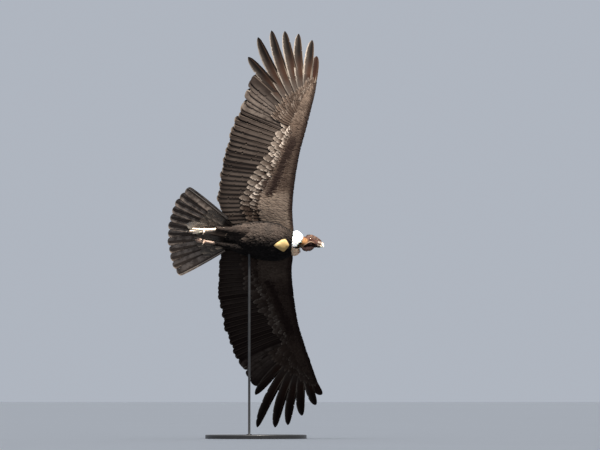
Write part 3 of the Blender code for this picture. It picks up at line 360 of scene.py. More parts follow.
def tube(path, radii, sides=16, flat=1.0, up=(0, 0, 1), squareness=2.0):
    path = np.array([tuple(p) for p in path], float)
    up = np.array(tuple(up), float)
    across_share, up_share = oval(sides, squareness)
    rings = []
    for i, centre in enumerate(path):
        ahead = path[min(i + 1, len(path) - 1)] - path[max(i - 1, 0)]
        across = np.cross(ahead, up)
        across /= np.linalg.norm(across)
        rise = np.cross(across, ahead)
        rise /= np.linalg.norm(rise)
        rings.append(centre + radii[i] * (across_share[:, None] * across + up_share[:, None] * rise * flat))
    return loft(rings)


def ball(centre, size, rings=12, sides=18):
    """Points and faces of an ellipsoid."""
    made = []
    for t in np.linspace(0.04, 0.96, rings):
        angle = 2 * pi * np.arange(sides) / sides
        r = sin(pi * t)
        ring = np.stack([np.full(sides, cos(pi * t)), r * np.cos(angle), r * np.sin(angle)], axis=1)
        made.append(np.array(centre) + ring * np.array(size))
    return loft(made)


def torus(centre, normal, radius, thick, major=28, minor=10, tall=1.0):
    turn = Vector((0, 0, 1)).rotation_difference(Vector(normal)).to_matrix()
    turn = np.array(turn)
    points = []
    for i in range(major):
        a = 2 * pi * i / major
        for j in range(minor):
            b = 2 * pi * j / minor
            r = radius + thick * cos(b)
            points.append((r * cos(a), r * sin(a) * tall, thick * sin(b)))
    faces = []
    for i in range(major):
        for j in range(minor):
            n, m = (i + 1) % major, (j + 1) % minor
            faces.append((i * minor + j, n * minor + j, n * minor + m, i * minor + m))
    return np.array(points) @ turn.T + np.array(centre), faces


def joined(shapes):
    points, faces, count = [], [], 0
    for p, f in shapes:
        points.append(p)
        faces += [tuple(i + count for i in face) for face in f]
        count += len(p)
    return np.vstack(points), faces


def fused(name, shapes, voxel, smoothing=2):
    """One closed skin round all the shapes."""
    points, faces = joined(shapes)
    mesh = bpy.data.meshes.new(name)
    mesh.from_pydata(points.tolist(), [], faces)
    thing = bpy.data.objects.new(name, mesh)
    bpy.context.scene.collection.objects.link(thing)
    remesh = thing.modifiers.new("fuse", "REMESH")
    remesh.mode = "VOXEL"
    remesh.voxel_size = voxel
    remesh.use_smooth_shade = True
    if smoothing:
        soft = thing.modifiers.new("soften", "SMOOTH")
        soft.factor = 0.5
        soft.iterations = smoothing
    bake(thing)
    return thing


def bake(thing):
    graph = bpy.context.evaluated_depsgraph_get()
    mesh = bpy.data.meshes.new_from_object(thing.evaluated_get(graph))
    thing.modifiers.clear()
    old = thing.data
    thing.data = mesh
    bpy.data.meshes.remove(old)


def points_of(thing):
    count = len(thing.data.vertices)
    co = np.empty(count * 3)
    thing.data.vertices.foreach_get("co", co)
    return co.reshape(-1, 3)


def normals_of(thing):
    count = len(thing.data.vertices)
    no = np.empty(count * 3)
    thing.data.vertex_normals.foreach_get("vector", no)
    return no.reshape(-1, 3)


def set_points(thing, points):
    thing.data.vertices.foreach_set("co", np.ascontiguousarray(points, dtype=np.float64).ravel())
    thing.data.update()


def set_vector(mesh, name, values):
    mesh.attributes.new(name, "FLOAT_VECTOR", "POINT").data.foreach_set(
        "vector", np.ascontiguousarray(values, dtype=np.float32).ravel()
    )


# Feathers as closed vanes, many in one mesh

class Template:
    """Vane of rows along and columns across, with a face above and one below."""

    def __init__(self, rows, across, lens=False):
        cols = len(across)
        self.rows = rows
        self.cols = cols
        self.row = np.repeat(np.arange(rows), cols)
        self.v = np.tile(np.array(across, float), rows)
        self.face = np.ones(rows * cols)
        top = np.arange(rows * cols).reshape(rows, cols)
        bottom = top.copy()
        count = rows * cols
        extra = []
        for i in range(rows):
            for j in range(cols):
                rim = i in (0, rows - 1) or j in (0, cols - 1)
                if lens and rim:
                    self.face[top[i, j]] = 0.0
                    continue
                bottom[i, j] = count
                extra.append((i, j))
                count += 1
        self.row = np.concatenate([self.row, [i for i, j in extra]]).astype(int)
        self.v = np.concatenate([self.v, [across[j] for i, j in extra]])
        self.face = np.concatenate([self.face, -np.ones(len(extra))])
        quads = []
        for i in range(rows - 1):
            for j in range(cols - 1):
                quads.append((top[i, j], top[i + 1, j], top[i + 1, j + 1], top[i, j + 1]))
                quads.append((bottom[i, j], bottom[i, j + 1], bottom[i + 1, j + 1], bottom[i + 1, j]))
        if not lens:
            for i in range(rows - 1):
                quads.append((top[i, 0], bottom[i, 0], bottom[i + 1, 0], top[i + 1, 0]))
                e = cols - 1
                quads.append((top[i, e], top[i + 1, e], bottom[i + 1, e], bottom[i, e]))
            for j in range(cols - 1):
                quads.append((top[0, j], top[0, j + 1], bottom[0, j + 1], bottom[0, j]))
                e = rows - 1
                quads.append((top[e, j], bottom[e, j], bottom[e, j + 1], top[e, j + 1]))
        self.quads = np.array(quads)
        self.size = count


class Coat:
    """Many vanes gathered into one mesh, with their maps."""

    def __init__(self):
        self.points = []
        self.quads = []
        self.vane = []
        self.look = []
        self.bake = []
        self.count = 0

    def add(self, template, points, vane, look, bake):
        n = len(points)
        size = template.size
        quads = template.quads
        first = points[0]
        a, b, c = first[quads[:, 0]], first[quads[:, 1]], first[quads[:, 2]]
        d = first[quads[:, 3]]
        mid = first.mean(axis=0)
        volume = np.einsum("ij,ij->i", a - mid, np.cross(b - mid, c - mid)).sum()
        volume += np.einsum("ij,ij->i", a - mid, np.cross(c - mid, d - mid)).sum()
        if volume < 0:
            quads = quads[:, ::-1]
        offsets = self.count + size * np.arange(n)
        self.quads.append((quads[None] + offsets[:, None, None]).reshape(-1, 4))
        self.points.append(points.reshape(-1, 3))
        self.vane.append(np.broadcast_to(vane, (n, size, 3)).reshape(-1, 3))
        self.look.append(np.broadcast_to(look, (n, size, 3)).reshape(-1, 3))
        self.bake.append(np.broadcast_to(bake, (n, size, 2)).reshape(-1, 2))
        self.count += n * size

    def make(self, name, material):
        points = np.vstack(self.points) @ TURN.T + SHIFT
        quads = np.vstack(self.quads).astype(np.int32)
        mesh = bpy.data.meshes.new(name)
        mesh.vertices.add(len(points))
        mesh.vertices.foreach_set("co", points.astype(np.float32).ravel())
        mesh.loops.add(quads.size)
        mesh.loops.foreach_set("vertex_index", quads.ravel())
        mesh.polygons.add(len(quads))
        mesh.polygons.foreach_set("loop_start", np.arange(0, quads.size, 4, dtype=np.int32))
        mesh.update(calc_edges=True)
        mesh.shade_smooth()
        mesh.set_sharp_from_angle(angle=radians(55))
        set_vector(mesh, "vane", np.vstack(self.vane))
        set_vector(mesh, "look", np.vstack(self.look))
        bake_map = mesh.uv_layers.new(name="OFBake")
        uv = np.vstack(self.bake)[quads.ravel()]
        bake_map.data.foreach_set("uv", uv.astype(np.float32).ravel())
        mesh.materials.append(material)
        thing = bpy.data.objects.new(name, mesh)
        bpy.context.scene.collection.objects.link(thing)
        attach(thing, "root")
        return thing


def patch(centre, u, v):
    """A small square of the map at each root's place."""
    n = len(centre)
    spot = np.stack([np.broadcast_to(v * 0.5, (n, v.shape[-1])),
                     np.broadcast_to(u - 0.5, (n, u.shape[-1]))], axis=-1)
    return centre[:, None, :] + PATCH * spot * 0.98


class Sheet:
    """A surface as a table of points over two parameters, with its outward normal."""

    def __init__(self, a_values, b_values, points, outward, island):
        self.a0, self.a1 = a_values[0], a_values[-1]
        self.b0, self.b1 = b_values[0], b_values[-1]
        self.points = points
        da = np.gradient(points, a_values, axis=0)
        db = np.gradient(points, b_values, axis=1)
        normal = np.cross(da, db)
        normal /= np.linalg.norm(normal, axis=2, keepdims=True) + 1e-12
        if (normal * outward).sum() < 0:
            normal = -normal
        self.normal = normal
        self.scale_a = np.linalg.norm(da, axis=2)
        self.scale_b = np.linalg.norm(db, axis=2)
        self.island = island

    def sample(self, table, a, b):
        na, nb = table.shape[:2]
        fa = np.clip((a - self.a0) / (self.a1 - self.a0), 0, 1) * (na - 1)
        fb = np.clip((b - self.b0) / (self.b1 - self.b0), 0, 1) * (nb - 1)
        i = np.minimum(fa.astype(int), na - 2)
        j = np.minimum(fb.astype(int), nb - 2)
        ta, tb = fa - i, fb - j
        if table.ndim == 3:
            ta, tb = ta[..., None], tb[..., None]
        low = table[i, j] * (1 - ta) + table[i + 1, j] * ta
        high = table[i, j + 1] * (1 - ta) + table[i + 1, j + 1] * ta
        return low * (1 - tb) + high * tb

    def at(self, a, b, h):
        return self.sample(self.points, a, b) + self.sample(self.normal, a, b) * h[..., None]

    def place_in_map(self, a, b):
        x0, y0, x1, y1 = self.island
        u = x0 + (x1 - x0) * (0.02 + 0.96 * np.clip((a - self.a0) / (self.a1 - self.a0), 0, 1))
        v = y0 + (y1 - y0) * (0.02 + 0.96 * np.clip((b - self.b0) / (self.b1 - self.b0), 0, 1))
        return np.stack([u, v], axis=-1)


def lay_feathers(coat, sheet, draw, a, b, heading, length, width, look, template, profile,
                 base=0.0005, rise=0.07, camber=0.10, curl=0.0, ragged=0.07, thick=0.0007, bend=0.10,
                 loose=1.0):
    """Lays one vane for each root (a, b) of the sheet, pointing along its heading.

    The heading turns from the first parameter's way towards the second's, in radians."""
    n = len(a)
    rows = template.rows
    share = np.linspace(0, 1, rows) ** 0.9
    u = share[template.row][None]
    v = template.v[None]
    wide = profile(share)[None] * (1 + ragged * draw.uniform(-1, 1, (n, rows)))
    left = (1 + ragged * draw.uniform(-1, 1, (n, rows)))
    edge = wide[:, template.row] * np.where(v < 0, left[:, template.row], 1.0)
    length = np.broadcast_to(length, (n,))[:, None]
    width = np.broadcast_to(width, (n,))[:, None]
    along = length * u
    across = width / 2 * edge * v + length * (draw.uniform(-1, 1, (n, 1)) * bend) * u ** 2
    ga = sheet.sample(sheet.scale_a, a, b)[:, None]
    gb = np.maximum(sheet.sample(sheet.scale_b, a, b)[:, None], 0.01)
    turn = np.broadcast_to(heading, (n,))[:, None]
    pa = a[:, None] + (np.cos(turn) * along - np.sin(turn) * across) / ga
    pb = b[:, None] + (np.sin(turn) * along + np.cos(turn) * across) / gb
    height = base + rise * along + length * curl * u ** 2.5
    height = height - camber * width * v ** 2 * edge + draw.uniform(0, 0.0012, (n, 1)) * loose
    height = height + draw.uniform(-0.05, 0.05, (n, 1)) * width * v * loose
    height = height + thick * (1 - 0.6 * u) * (1 - 0.5 * np.abs(v)) * template.face[None]
    height = np.maximum(height, -0.004)
    points = sheet.at(pa, pb, height)
    side = (template.face[None] + 1) / 2
    vane = np.stack(np.broadcast_arrays(u, v, side), axis=-1)
    marks = sheet.place_in_map(a, b)
    look = np.broadcast_to(look[:, None, :], (n, template.size, 3))
    coat.add(template, points, vane, look, patch(marks, u, v))


def scattered(draw, a_range, b_range, step_a, step_b, jitter=0.35):
    """Roots in staggered rows, from the last row back to the first."""
    roots = []
    rows = max(int((a_range[1] - a_range[0]) / step_a), 1)
    for i in range(rows + 1):
        a = a_range[0] + (a_range[1] - a_range[0]) * i / rows
        count = max(int((b_range[1] - b_range[0]) / step_b), 1)
        offset = 0.5 * (i % 2)
        for j in range(count):
            b = b_range[0] + (b_range[1] - b_range[0]) * (j + offset) / count
            roots.append((a, b))
    roots = np.array(roots)
    roots[:, 0] += draw.uniform(-jitter, jitter, len(roots)) * step_a
    roots[:, 1] += draw.uniform(-jitter, jitter, len(roots)) * step_b
    return roots[:, 0], roots[:, 1]


BODY_PROFILE = spline([(0.0, 0.35), (0.25, 0.85), (0.55, 1.0), (0.80, 0.86), (0.93, 0.55), (1.0, 0.10)])
SOFT_PROFILE = spline([(0.0, 0.40), (0.30, 0.90), (0.60, 1.0), (0.82, 0.78), (1.0, 0.22)])
LOCK_PROFILE = spline([(0.0, 0.45), (0.35, 1.0), (0.70, 0.85), (1.0, 0.08)])
BROAD_VANE = spline([(0.0, 0.70), (0.30, 0.90), (0.60, 1.0), (0.90, 0.97), (0.96, 0.86), (0.988, 0.62),
                     (1.0, 0.24)])
FINGER_VANE = spline([(0.0, 0.60), (0.20, 0.86), (0.40, 1.0), (0.62, 1.0), (0.82, 0.86), (0.94, 0.56),
                      (0.985, 0.26), (1.0, 0.05)])
COVERT_VANE = spline([(0.0, 0.60), (0.35, 0.92), (0.60, 1.0), (0.86, 0.86), (0.96, 0.56), (1.0, 0.14)])
LONG_COVERT_VANE = spline([(0.0, 0.60), (0.35, 0.94), (0.58, 1.0), (0.80, 0.78), (0.92, 0.48), (1.0, 0.12)])

SMALL = Template(6, (-1.0, -0.5, 0.0, 0.5, 1.0), lens=True)
TINY = Template(5, (-1.0, 0.0, 1.0), lens=True)


# Wings

LEAD = {1: spline(LEADING_EDGE["L"]), -1: spline(LEADING_EDGE["R"])}
TRAIL = {1: spline(TRAILING_EDGE["L"]), -1: spline(TRAILING_EDGE["R"])}
CORE_THICK, CORE_REACH = columns(WING_CORE)
# Where the wing's sheets of small feathers begin and end
WING_START, WING_END = 0.05, 1.17


def wing_height(side, x, s):
    """Height of the wing's middle surface."""
    out = np.maximum(s - WING_RISE_START, 0.0) / (HALF_SPAN - WING_RISE_START)
    rise = WING_RISE * out ** WING_RISE_POWER
    lead = LEAD[side](s)
    chord = np.maximum(lead - TRAIL[side](s), 1e-6)
    c = np.clip((lead - x) / chord, 0.0, 1.0)
    fade = np.clip((1.22 - s) / 0.35, 0.0, 1.0)
    return WING_ROOT_HEIGHT + rise + WING_CAMBER * fade * np.sin(pi * c ** 0.8)


def flesh_half(v):
    """Half thickness of the wing's flesh at share v of its depth."""
    v = np.clip(v, 0, 1)
    shape = 0.2969 * np.sqrt(v) - 0.126 * v - 0.3516 * v * v + 0.2843 * v ** 3 - 0.1036 * v ** 4
    return shape / 0.1


def tier(s):
    """Step between the tiers of feathers, less towards the wing's tip."""
    return TIER_STEP * (1.0 - 0.45 * ease(0.80, 1.12, s))


def arm_ray(side, u):
    """Root and tip of the arm's flight feather at share u of the way to the hand."""
    root_s = SECONDARY_ROOTS[0] + (SECONDARY_ROOTS[1] - SECONDARY_ROOTS[0]) * u
    tip_s = SECONDARY_TIPS[0] + (SECONDARY_TIPS[1] - SECONDARY_TIPS[0]) * u ** 1.08
    lead = float(LEAD[side](root_s))
    chord = lead - float(TRAIL[side](root_s))
    return (lead - 0.14 * chord, root_s), (float(TRAIL[side](tip_s)), tip_s)


def along(ray, q):
    """The point at share q of a ray, also before or past its ends."""
    (ax, a), (bx, b) = ray
    return (ax + (bx - ax) * q, a + (b - a) * q)


def finger_root(side, k):
    """Root of the hand's flight feather k, counted from the innermost."""
    u = k / 9
    s = HAND_ROOTS[0] + (HAND_ROOTS[1] - HAND_ROOTS[0]) * u
    c = HAND_ROOT_CHORD[0] + (HAND_ROOT_CHORD[1] - HAND_ROOT_CHORD[0]) * u
    lead = float(LEAD[side](s))
    return (lead - c * (lead - float(TRAIL[side](s))), s)


def back_along(root, tip, distance):
    """The root moved back from the tip by a distance."""
    length = ((tip[0] - root[0]) ** 2 + (tip[1] - root[1]) ** 2) ** 0.5
    return along((root, tip), -distance / length)


FLIGHT_ROWS = 30
NOTCHES = 3
CUT_HALF = 0.006
# Width of a vane before and behind the middle line, as shares of the whole
BACK_VANE, FRONT_VANE = 0.56, 0.44
# Where notches are torn, first and last, and how deep, least and most
TORN = (0.35, 0.93, 0.10, 0.34)
FINGER_SHAFTS = (0.14, 0.16, 0.18, 0.22, 0.24, 0.26, 0.30, 0.32, 0.33, 0.30)


def across_of(shaft, fine=True):
    """Columns across a vane as shares of its width, with three for the shaft."""
    inner = np.linspace(-BACK_VANE, shaft - 0.09, 6 if fine else 4)
    outer = np.linspace(shaft + 0.09, FRONT_VANE, 4 if fine else 3)
    return np.concatenate([inner, [shaft - 0.030, shaft, shaft + 0.030], outer])


def wing_vane(coat, side, root, tip, width, profile, level, thick, look, draw, up=0.0, free=0.0,
              bow=0.0, shaft=0.12, rows=FLIGHT_ROWS, notches=NOTCHES, fine=True, camber=0.0016,
              keel=0.0013, curl=0.0, cell=None, droop=0.0, torn=TORN):
    """One stiff feather on the wing's surface, its outer edge tilted up to clear the next."""
    across = across_of(shaft, fine)
    template = Template(rows + 2 * notches, across)
    places = 1 - (1 - np.linspace(0, 1, rows)) ** 1.15
    cuts = np.sort(draw.uniform(torn[0], torn[1], notches))
    u_rows = np.sort(np.concatenate([places, cuts - CUT_HALF, cuts + CUT_HALF])) if notches else places
    u = u_rows[template.row]
    e = template.v
    share = profile(u)
    if notches:
        for cut in cuts:
            deep = draw.uniform(torn[2], torn[3])
            inner = draw.uniform() < 0.75
            mask = (np.abs(u - cut) <= CUT_HALF * 1.01) & (u >= cut)
            edge_side = e < shaft - 0.05 if inner else e > shaft + 0.05
            near = np.abs(e - shaft) / (BACK_VANE + shaft if inner else FRONT_VANE - shaft)
            share = np.where(mask & edge_side & (near > 0.55), share * (1 - deep * near), share)
    ragged = 1 + 0.02 * draw.uniform(-1, 1, template.rows)
    share = share * ragged[template.row]
    along_x = tip[0] - root[0]
    along_s = tip[1] - root[1]
    length = (along_x ** 2 + along_s ** 2) ** 0.5
    out_x = along_s / length
    out_s = -along_x / length
    bend_by = bow * 4 * u * (1 - u)
    reach = e * width * share
    x = root[0] + along_x * u + out_x * (bend_by + reach)
    s = root[1] + along_s * u + out_s * (bend_by + reach)
    lifted = (np.maximum(u - free, 0.0) / (1 - free)) ** 1.5 if free < 1 else 0
    v = np.where(e < shaft, (e - shaft) / (BACK_VANE + shaft), (e - shaft) / (FRONT_VANE - shaft))
    z = wing_height(side, x, s) + level + LOUVRE * reach + up * lifted
    z = z - camber * v ** 2 + curl * u ** 3 - droop * u
    on_shaft = np.abs(e - shaft) < 0.035
    peak = np.abs(e - shaft) < 0.005
    depth = thick / 2 * np.where(on_shaft, 1.0, 1 - 0.55 * np.abs(v)) * (1 - 0.5 * u)
    depth = depth + np.where(peak, keel * (1 - 0.85 * u) * np.where(template.face > 0, 0.5, 1.0), 0)
    z = z + depth * template.face
    points = np.stack([x, side * s, z], axis=-1)[None]
    face = (template.face + 1) / 2
    vane = np.stack([u, v, face], axis=-1)[None]
    if cell is None:
        centre = wing_island(side, level > 0, np.array([root[0]]), np.array([root[1]]))
        spread = patch(centre, u[None], (e / 0.5)[None])
    else:
        x0, y0, x1, y1 = cell
        lower = template.face < 0
        mid = (x0 + x1) / 2
        span = (mid - x0) * 0.92
        at = (e + BACK_VANE) * span + np.where(lower, x0, mid)
        spread = np.stack([at, y0 + (y1 - y0) * 0.96 * u], axis=-1)[None]
    coat.add(template, points, vane, np.array(look)[None, None], spread)


def wing_island(side, upper, x, s):
    """Place in the map on the wing's own upper or lower face."""
    u = (s - 0.05) / 1.2 * 0.46 + 0.02
    v = (x + 0.35) / 0.85 * 0.22 + 0.02
    u = u + (0.5 if side > 0 else 0.0)
    v = v + (0.25 if upper else 0.0)
    return np.stack([u, v], axis=-1)


def flight_feathers(side, label):
    """Secondaries and primaries of one wing."""
    draw = np.random.default_rng(100 + side)
    coat = Coat()
    total = SECONDARIES + 10
    last, first = arm_ray(side, 1.0), (finger_root(side, 0), FINGERS[label][0][:2])
    lowest = FINGERS[label][0][2] - float(wing_height(side, *first[1]))
    for i in range(SECONDARIES):
        u = i / (SECONDARIES - 1)
        ray = arm_ray(side, u)
        tip = along(ray, 1.0 + draw.uniform(-0.026, 0.014))
        start = along(ray, 0.30 + (0.12 - 0.30) * u)
        cell = (i / total + 0.002, 0.02, (i + 1) / total - 0.002, 0.98)
        wing_vane(coat, side, start, tip, 0.064 * draw.uniform(0.96, 1.04), BROAD_VANE, 0.0, FLIGHT_THICK,
                  (draw.uniform(), 1.0, 0.9 * u), draw, shaft=-0.12, cell=cell, droop=0.001 * draw.uniform(),
                  up=lowest * float(ease(0.45, 1.0, u)), free=0.3)
    for root_s, tip_s in ((0.112, 0.100), (0.090, 0.074)):
        lead, trail = float(LEAD[side](root_s)), float(TRAIL[side](tip_s))
        cell = (0.002, 0.02, 1 / total - 0.002, 0.98)
        wing_vane(coat, side, (lead - 0.30, root_s), (trail + 0.01, tip_s), 0.062, BROAD_VANE, 0.0008,
                  FLIGHT_THICK,
                  (draw.uniform(), 1.0, 0.0), draw, shaft=-0.12, cell=cell)
    for t in (0.33, 0.67):
        root = (last[0][0] * (1 - t) + first[0][0] * t, last[0][1] * (1 - t) + first[0][1] * t)
        tip = (last[1][0] * (1 - t) + first[1][0] * t - 0.004, last[1][1] * (1 - t) + first[1][1] * t)
        cell = (0.002, 0.02, 1 / total - 0.002, 0.98)
        wing_vane(coat, side, back_along(root, tip, 0.01), tip, 0.070, BROAD_VANE, -0.0004 * t, FLIGHT_THICK,
                  (draw.uniform(), 1.0, 0.9), draw, shaft=-0.12, cell=cell, up=lowest, free=0.3)
    for k, (forward, out, up, bow, width) in enumerate(FINGERS[label]):
        root = finger_root(side, k)
        tip = (forward, out)
        lift = up - float(wing_height(side, forward, out))
        cell = ((SECONDARIES + k) / total + 0.002, 0.02, (SECONDARIES + k + 1) / total - 0.002, 0.98)
        wing_vane(coat, side, back_along(root, tip, 0.030), tip, width * (1.0 if k > 2 else 1.22),
                  FINGER_VANE if k > 2 else BROAD_VANE,
                  0.0, FLIGHT_THICK, (draw.uniform(), 0.0, 1.0 + k / 9), draw, up=lift,
                  free=FINGER_FREE if k else 0.3, bow=bow,
                  shaft=FINGER_SHAFTS[k], notches=5, cell=cell,
                  rows=38, torn=(0.35, 0.93, 0.06, 0.22))
    for k in (0, 1, 2):
        ends = [FINGERS[label][k], FINGERS[label][k + 1]]
        share = 0.5 if k < 2 else 0.30
        forward, out, up = [ends[0][j] * (1 - share) + ends[1][j] * share for j in range(3)]
        root = finger_root(side, k + share)
        cell = ((SECONDARIES + k) / total + 0.002, 0.02, (SECONDARIES + k + 1) / total - 0.002, 0.98)
        wing_vane(coat, side, back_along(root, (forward, out), 0.02), along((root, (forward, out)), 0.93),
                  0.086, BROAD_VANE, 0.0007, FLIGHT_THICK, (draw.uniform(), 0.0, 1.0 + k / 9), draw,
                  up=(up - float(wing_height(side, forward,
                                             out))) * 0.9, free=FINGER_FREE, shaft=0.14, cell=cell)
    return coat.make(f"flight_feathers_{label}", FLIGHT[label])


def covert_tips(s, table):
    """Share of the chord where a row of coverts ends, at distance s out."""
    return np.interp(s, [p[0] for p in table], [p[1] for p in table])


UNDER_GREATER_TIPS = [(0.12, 0.70), (0.28, 0.70), (0.40, 0.645), (0.50, 0.56), (0.61, 0.47), (0.70, 0.40),
                      (0.80, 0.36)]
UNDER_MEDIAN_TIPS = [(0.12, 0.58), (0.28, 0.56), (0.374, 0.52), (0.46, 0.43), (0.59, 0.365), (0.70, 0.32),
                     (0.80, 0.28)]


RAGGED = (0.62, 0.975, 0.25, 0.80)
COVERT_LEAN = 0.020


def arm_coverts(coat, side, draw, count, tips, level, width, start, pale, upper):
    """One row of long coverts over the arm, each ending at its share of the chord."""
    for i in range(count):
        u = (i + 0.5) / count * 1.07
        ray = arm_ray(side, u)
        root_s = ray[0][1]
        c = covert_tips(root_s, tips) + draw.uniform(-0.040, 0.040)
        q = min(max((c - 0.14) / 0.86, 0.1), 0.97)
        begin = along(ray, max(q - start, 0.02))
        # Painted shade: on the left wing (side > 0) the lower coverts' pale ends are halved
        soft = 1.0 if upper else float(ease(0.22, 0.36, root_s)) * (0.5 if side > 0 else 1.0)
        look = (draw.uniform(), pale * draw.uniform(0.7, 1.0) * soft, 0.3 if upper else 0.40)
        forward, out = along(ray, q)
        wing_vane(coat, side, begin, (forward, out if upper else out - COVERT_LEAN),
                  width * draw.uniform(0.80, 1.22), COVERT_VANE if upper else LONG_COVERT_VANE,
                  level * float(tier(root_s)), COVERT_THICK, look, draw, shaft=0.05, rows=14,
                  notches=2 if upper else 5, fine=upper, camber=0.0006, keel=0.0004,
                  curl=-0.0012 if level < 0 else 0.0, torn=TORN if upper else RAGGED)


def hand_coverts(coat, side, label, draw, level, lengths, width, pale, upper):
    """Coverts over the roots of the hand's flight feathers."""
    count = 19
    for i in range(count):
        k = 9 * i / (count - 1)
        low = int(min(k, 8))
        t = k - low
        near = finger_root(side, k)
        first, second = FINGERS[label][low][:2], FINGERS[label][low + 1][:2]
        far = (first[0] * (1 - t) + second[0] * t, first[1] * (1 - t) + second[1] * t)
        size = lengths[0] + (lengths[1] - lengths[0]) * k / 9 + draw.uniform(-0.018, 0.018)
        begin = back_along(near, far, 0.035)
        span = ((far[0] - begin[0]) ** 2 + (far[1] - begin[1]) ** 2) ** 0.5
        look = (draw.uniform(), pale * draw.uniform(0.4, 1.0), 0.3 if upper else 0.48)
        wing_vane(coat, side, begin, along((begin, far), size / span), width,
                  COVERT_VANE if upper else LONG_COVERT_VANE,
                  level * float(tier(near[1])), COVERT_THICK, look, draw, shaft=0.05, rows=14,
                  notches=1 if upper else 4, fine=False, camber=0.0012, keel=0.0005,
                  torn=TORN if upper else RAGGED)


def long_coverts(side, label):
    """Greater, median and hand coverts of one wing, and its alula."""
    under = Coat()
    draw = np.random.default_rng(200 + side)
    arm_coverts(under, side, draw, 21, UNDER_GREATER_TIPS, -1.25, 0.057, 0.36, 0.9, False)
    arm_coverts(under, side, draw, 31, UNDER_MEDIAN_TIPS, -1.95, 0.040, 0.22, 1.6, False)
    higher = [(s, c - 0.075) for s, c in UNDER_MEDIAN_TIPS]
    arm_coverts(under, side, draw, 29, higher, -2.5, 0.036, 0.09, 0.45, False)
    hand_coverts(under, side, label, draw, -1.1, (0.185, 0.150), 0.038, 0.22, False)
    hand_coverts(under, side, label, draw, -1.8, (0.120, 0.100), 0.032, 0.45, False)
    upper = Coat()
    great = [(s, c * 0.86) for s, c in UNDER_GREATER_TIPS]
    arm_coverts(upper, side, draw, 21, great, 1.25, 0.056, 0.34, 1.0, True)
    middle = [(s, c * 0.66) for s, c in UNDER_GREATER_TIPS]
    arm_coverts(upper, side, draw, 25, middle, 1.95, 0.048, 0.24, 0.0, True)
    hand_coverts(upper, side, label, draw, 1.1, (0.195, 0.150), 0.036, 0.0, True)
    hand_coverts(upper, side, label, draw, 1.8, (0.120, 0.095), 0.030, 0.0, True)
    for i in range(3):
        s = 0.812 + 0.020 * i
        root = (float(LEAD[side](s)) - 0.016 - 0.012 * (3 - i), s)
        tip_s = s + 0.120 + 0.014 * i
        tip = (float(LEAD[side](tip_s)) - 0.004 - 0.012 * (2 - i), tip_s)
        wing_vane(upper, side, root, tip, 0.022, COVERT_VANE, 0.0100 + 0.0020 * i, COVERT_THICK,
                  (draw.uniform(), 0.0, 0.3), draw, shaft=0.1, rows=14, notches=0, fine=False, keel=0.0006)
    under.make(f"under_coverts_{label}", UNDER[label])
    upper.make(f"upper_coverts_{label}", UPPER)


def wing_section(side, s, v, lower):
    """Points on the wing's flesh and its small feathers' ground at share v of the core's chord."""
    lead = LEAD[side](s)
    length = CORE_REACH(s) * (lead - TRAIL[side](s))
    x = lead - v * length
    half = CORE_THICK(s) / 2 * flesh_half(v)
    ground = (1.75 if lower else 1.45) * tier(s) * ease(0.0, 0.35, v)
    half = np.maximum(half, ground)
    z = wing_height(side, x, s) + (-half if lower else half)
    return np.stack([x, side * s + 0 * x, z], axis=-1)


def wing_sheet(side, lower):
    """The lower or upper face of the wing, by distance back from the lead and distance out."""
    s_values = np.linspace(WING_START, WING_END, 113)
    back = np.linspace(0.0, 0.34, 86)
    v = np.concatenate([np.linspace(0, 1, 60) ** 2 * 0.3, np.linspace(0.31, 2.6, 80)])
    points = np.empty((len(back), len(s_values), 3))
    for j, s in enumerate(s_values):
        ring = wing_section(side, np.full(len(v), s), v, lower)
        run = np.concatenate([[0], np.cumsum(np.linalg.norm(np.diff(ring, axis=0), axis=1))])
        for k in range(3):
            points[:, j, k] = np.interp(back, run, ring[:, k])
    x0 = 0.5 if side > 0 else 0.0
    y0 = 0.5 if lower else 0.75
    island = (y0, x0, y0 + 0.24, x0 + 0.48)
    outward = np.array([0.0, 0.0, -1.0 if lower else 1.0])
    return Sheet(back, s_values, points, outward, island)


def lie(s):
    """Turn of the feathers' lie from straight back towards the tip."""
    return np.interp(s, [0.1, 0.5, 0.8, 0.87, 0.95, 1.02, 1.10, 1.17],
                     np.radians([0, 8, 18, 26, 44, 62, 78, 84]))


def inside_torso(points, grow=0.0):
    """Which points lie in the torso."""
    half_width, belly, back = TORSO_SHAPE
    x = points[..., 0]
    across = np.abs(points[..., 1] - x * tan(BODY_YAW)) / (half_width(x) + grow)
    z = points[..., 2]
    up = np.abs(z) / (np.where(z > 0, back(x), belly(x)) + grow)
    inside = across ** TORSO_SQUARE + up ** TORSO_SQUARE < 1
    return inside & (x > -0.24) & (x < 0.29)


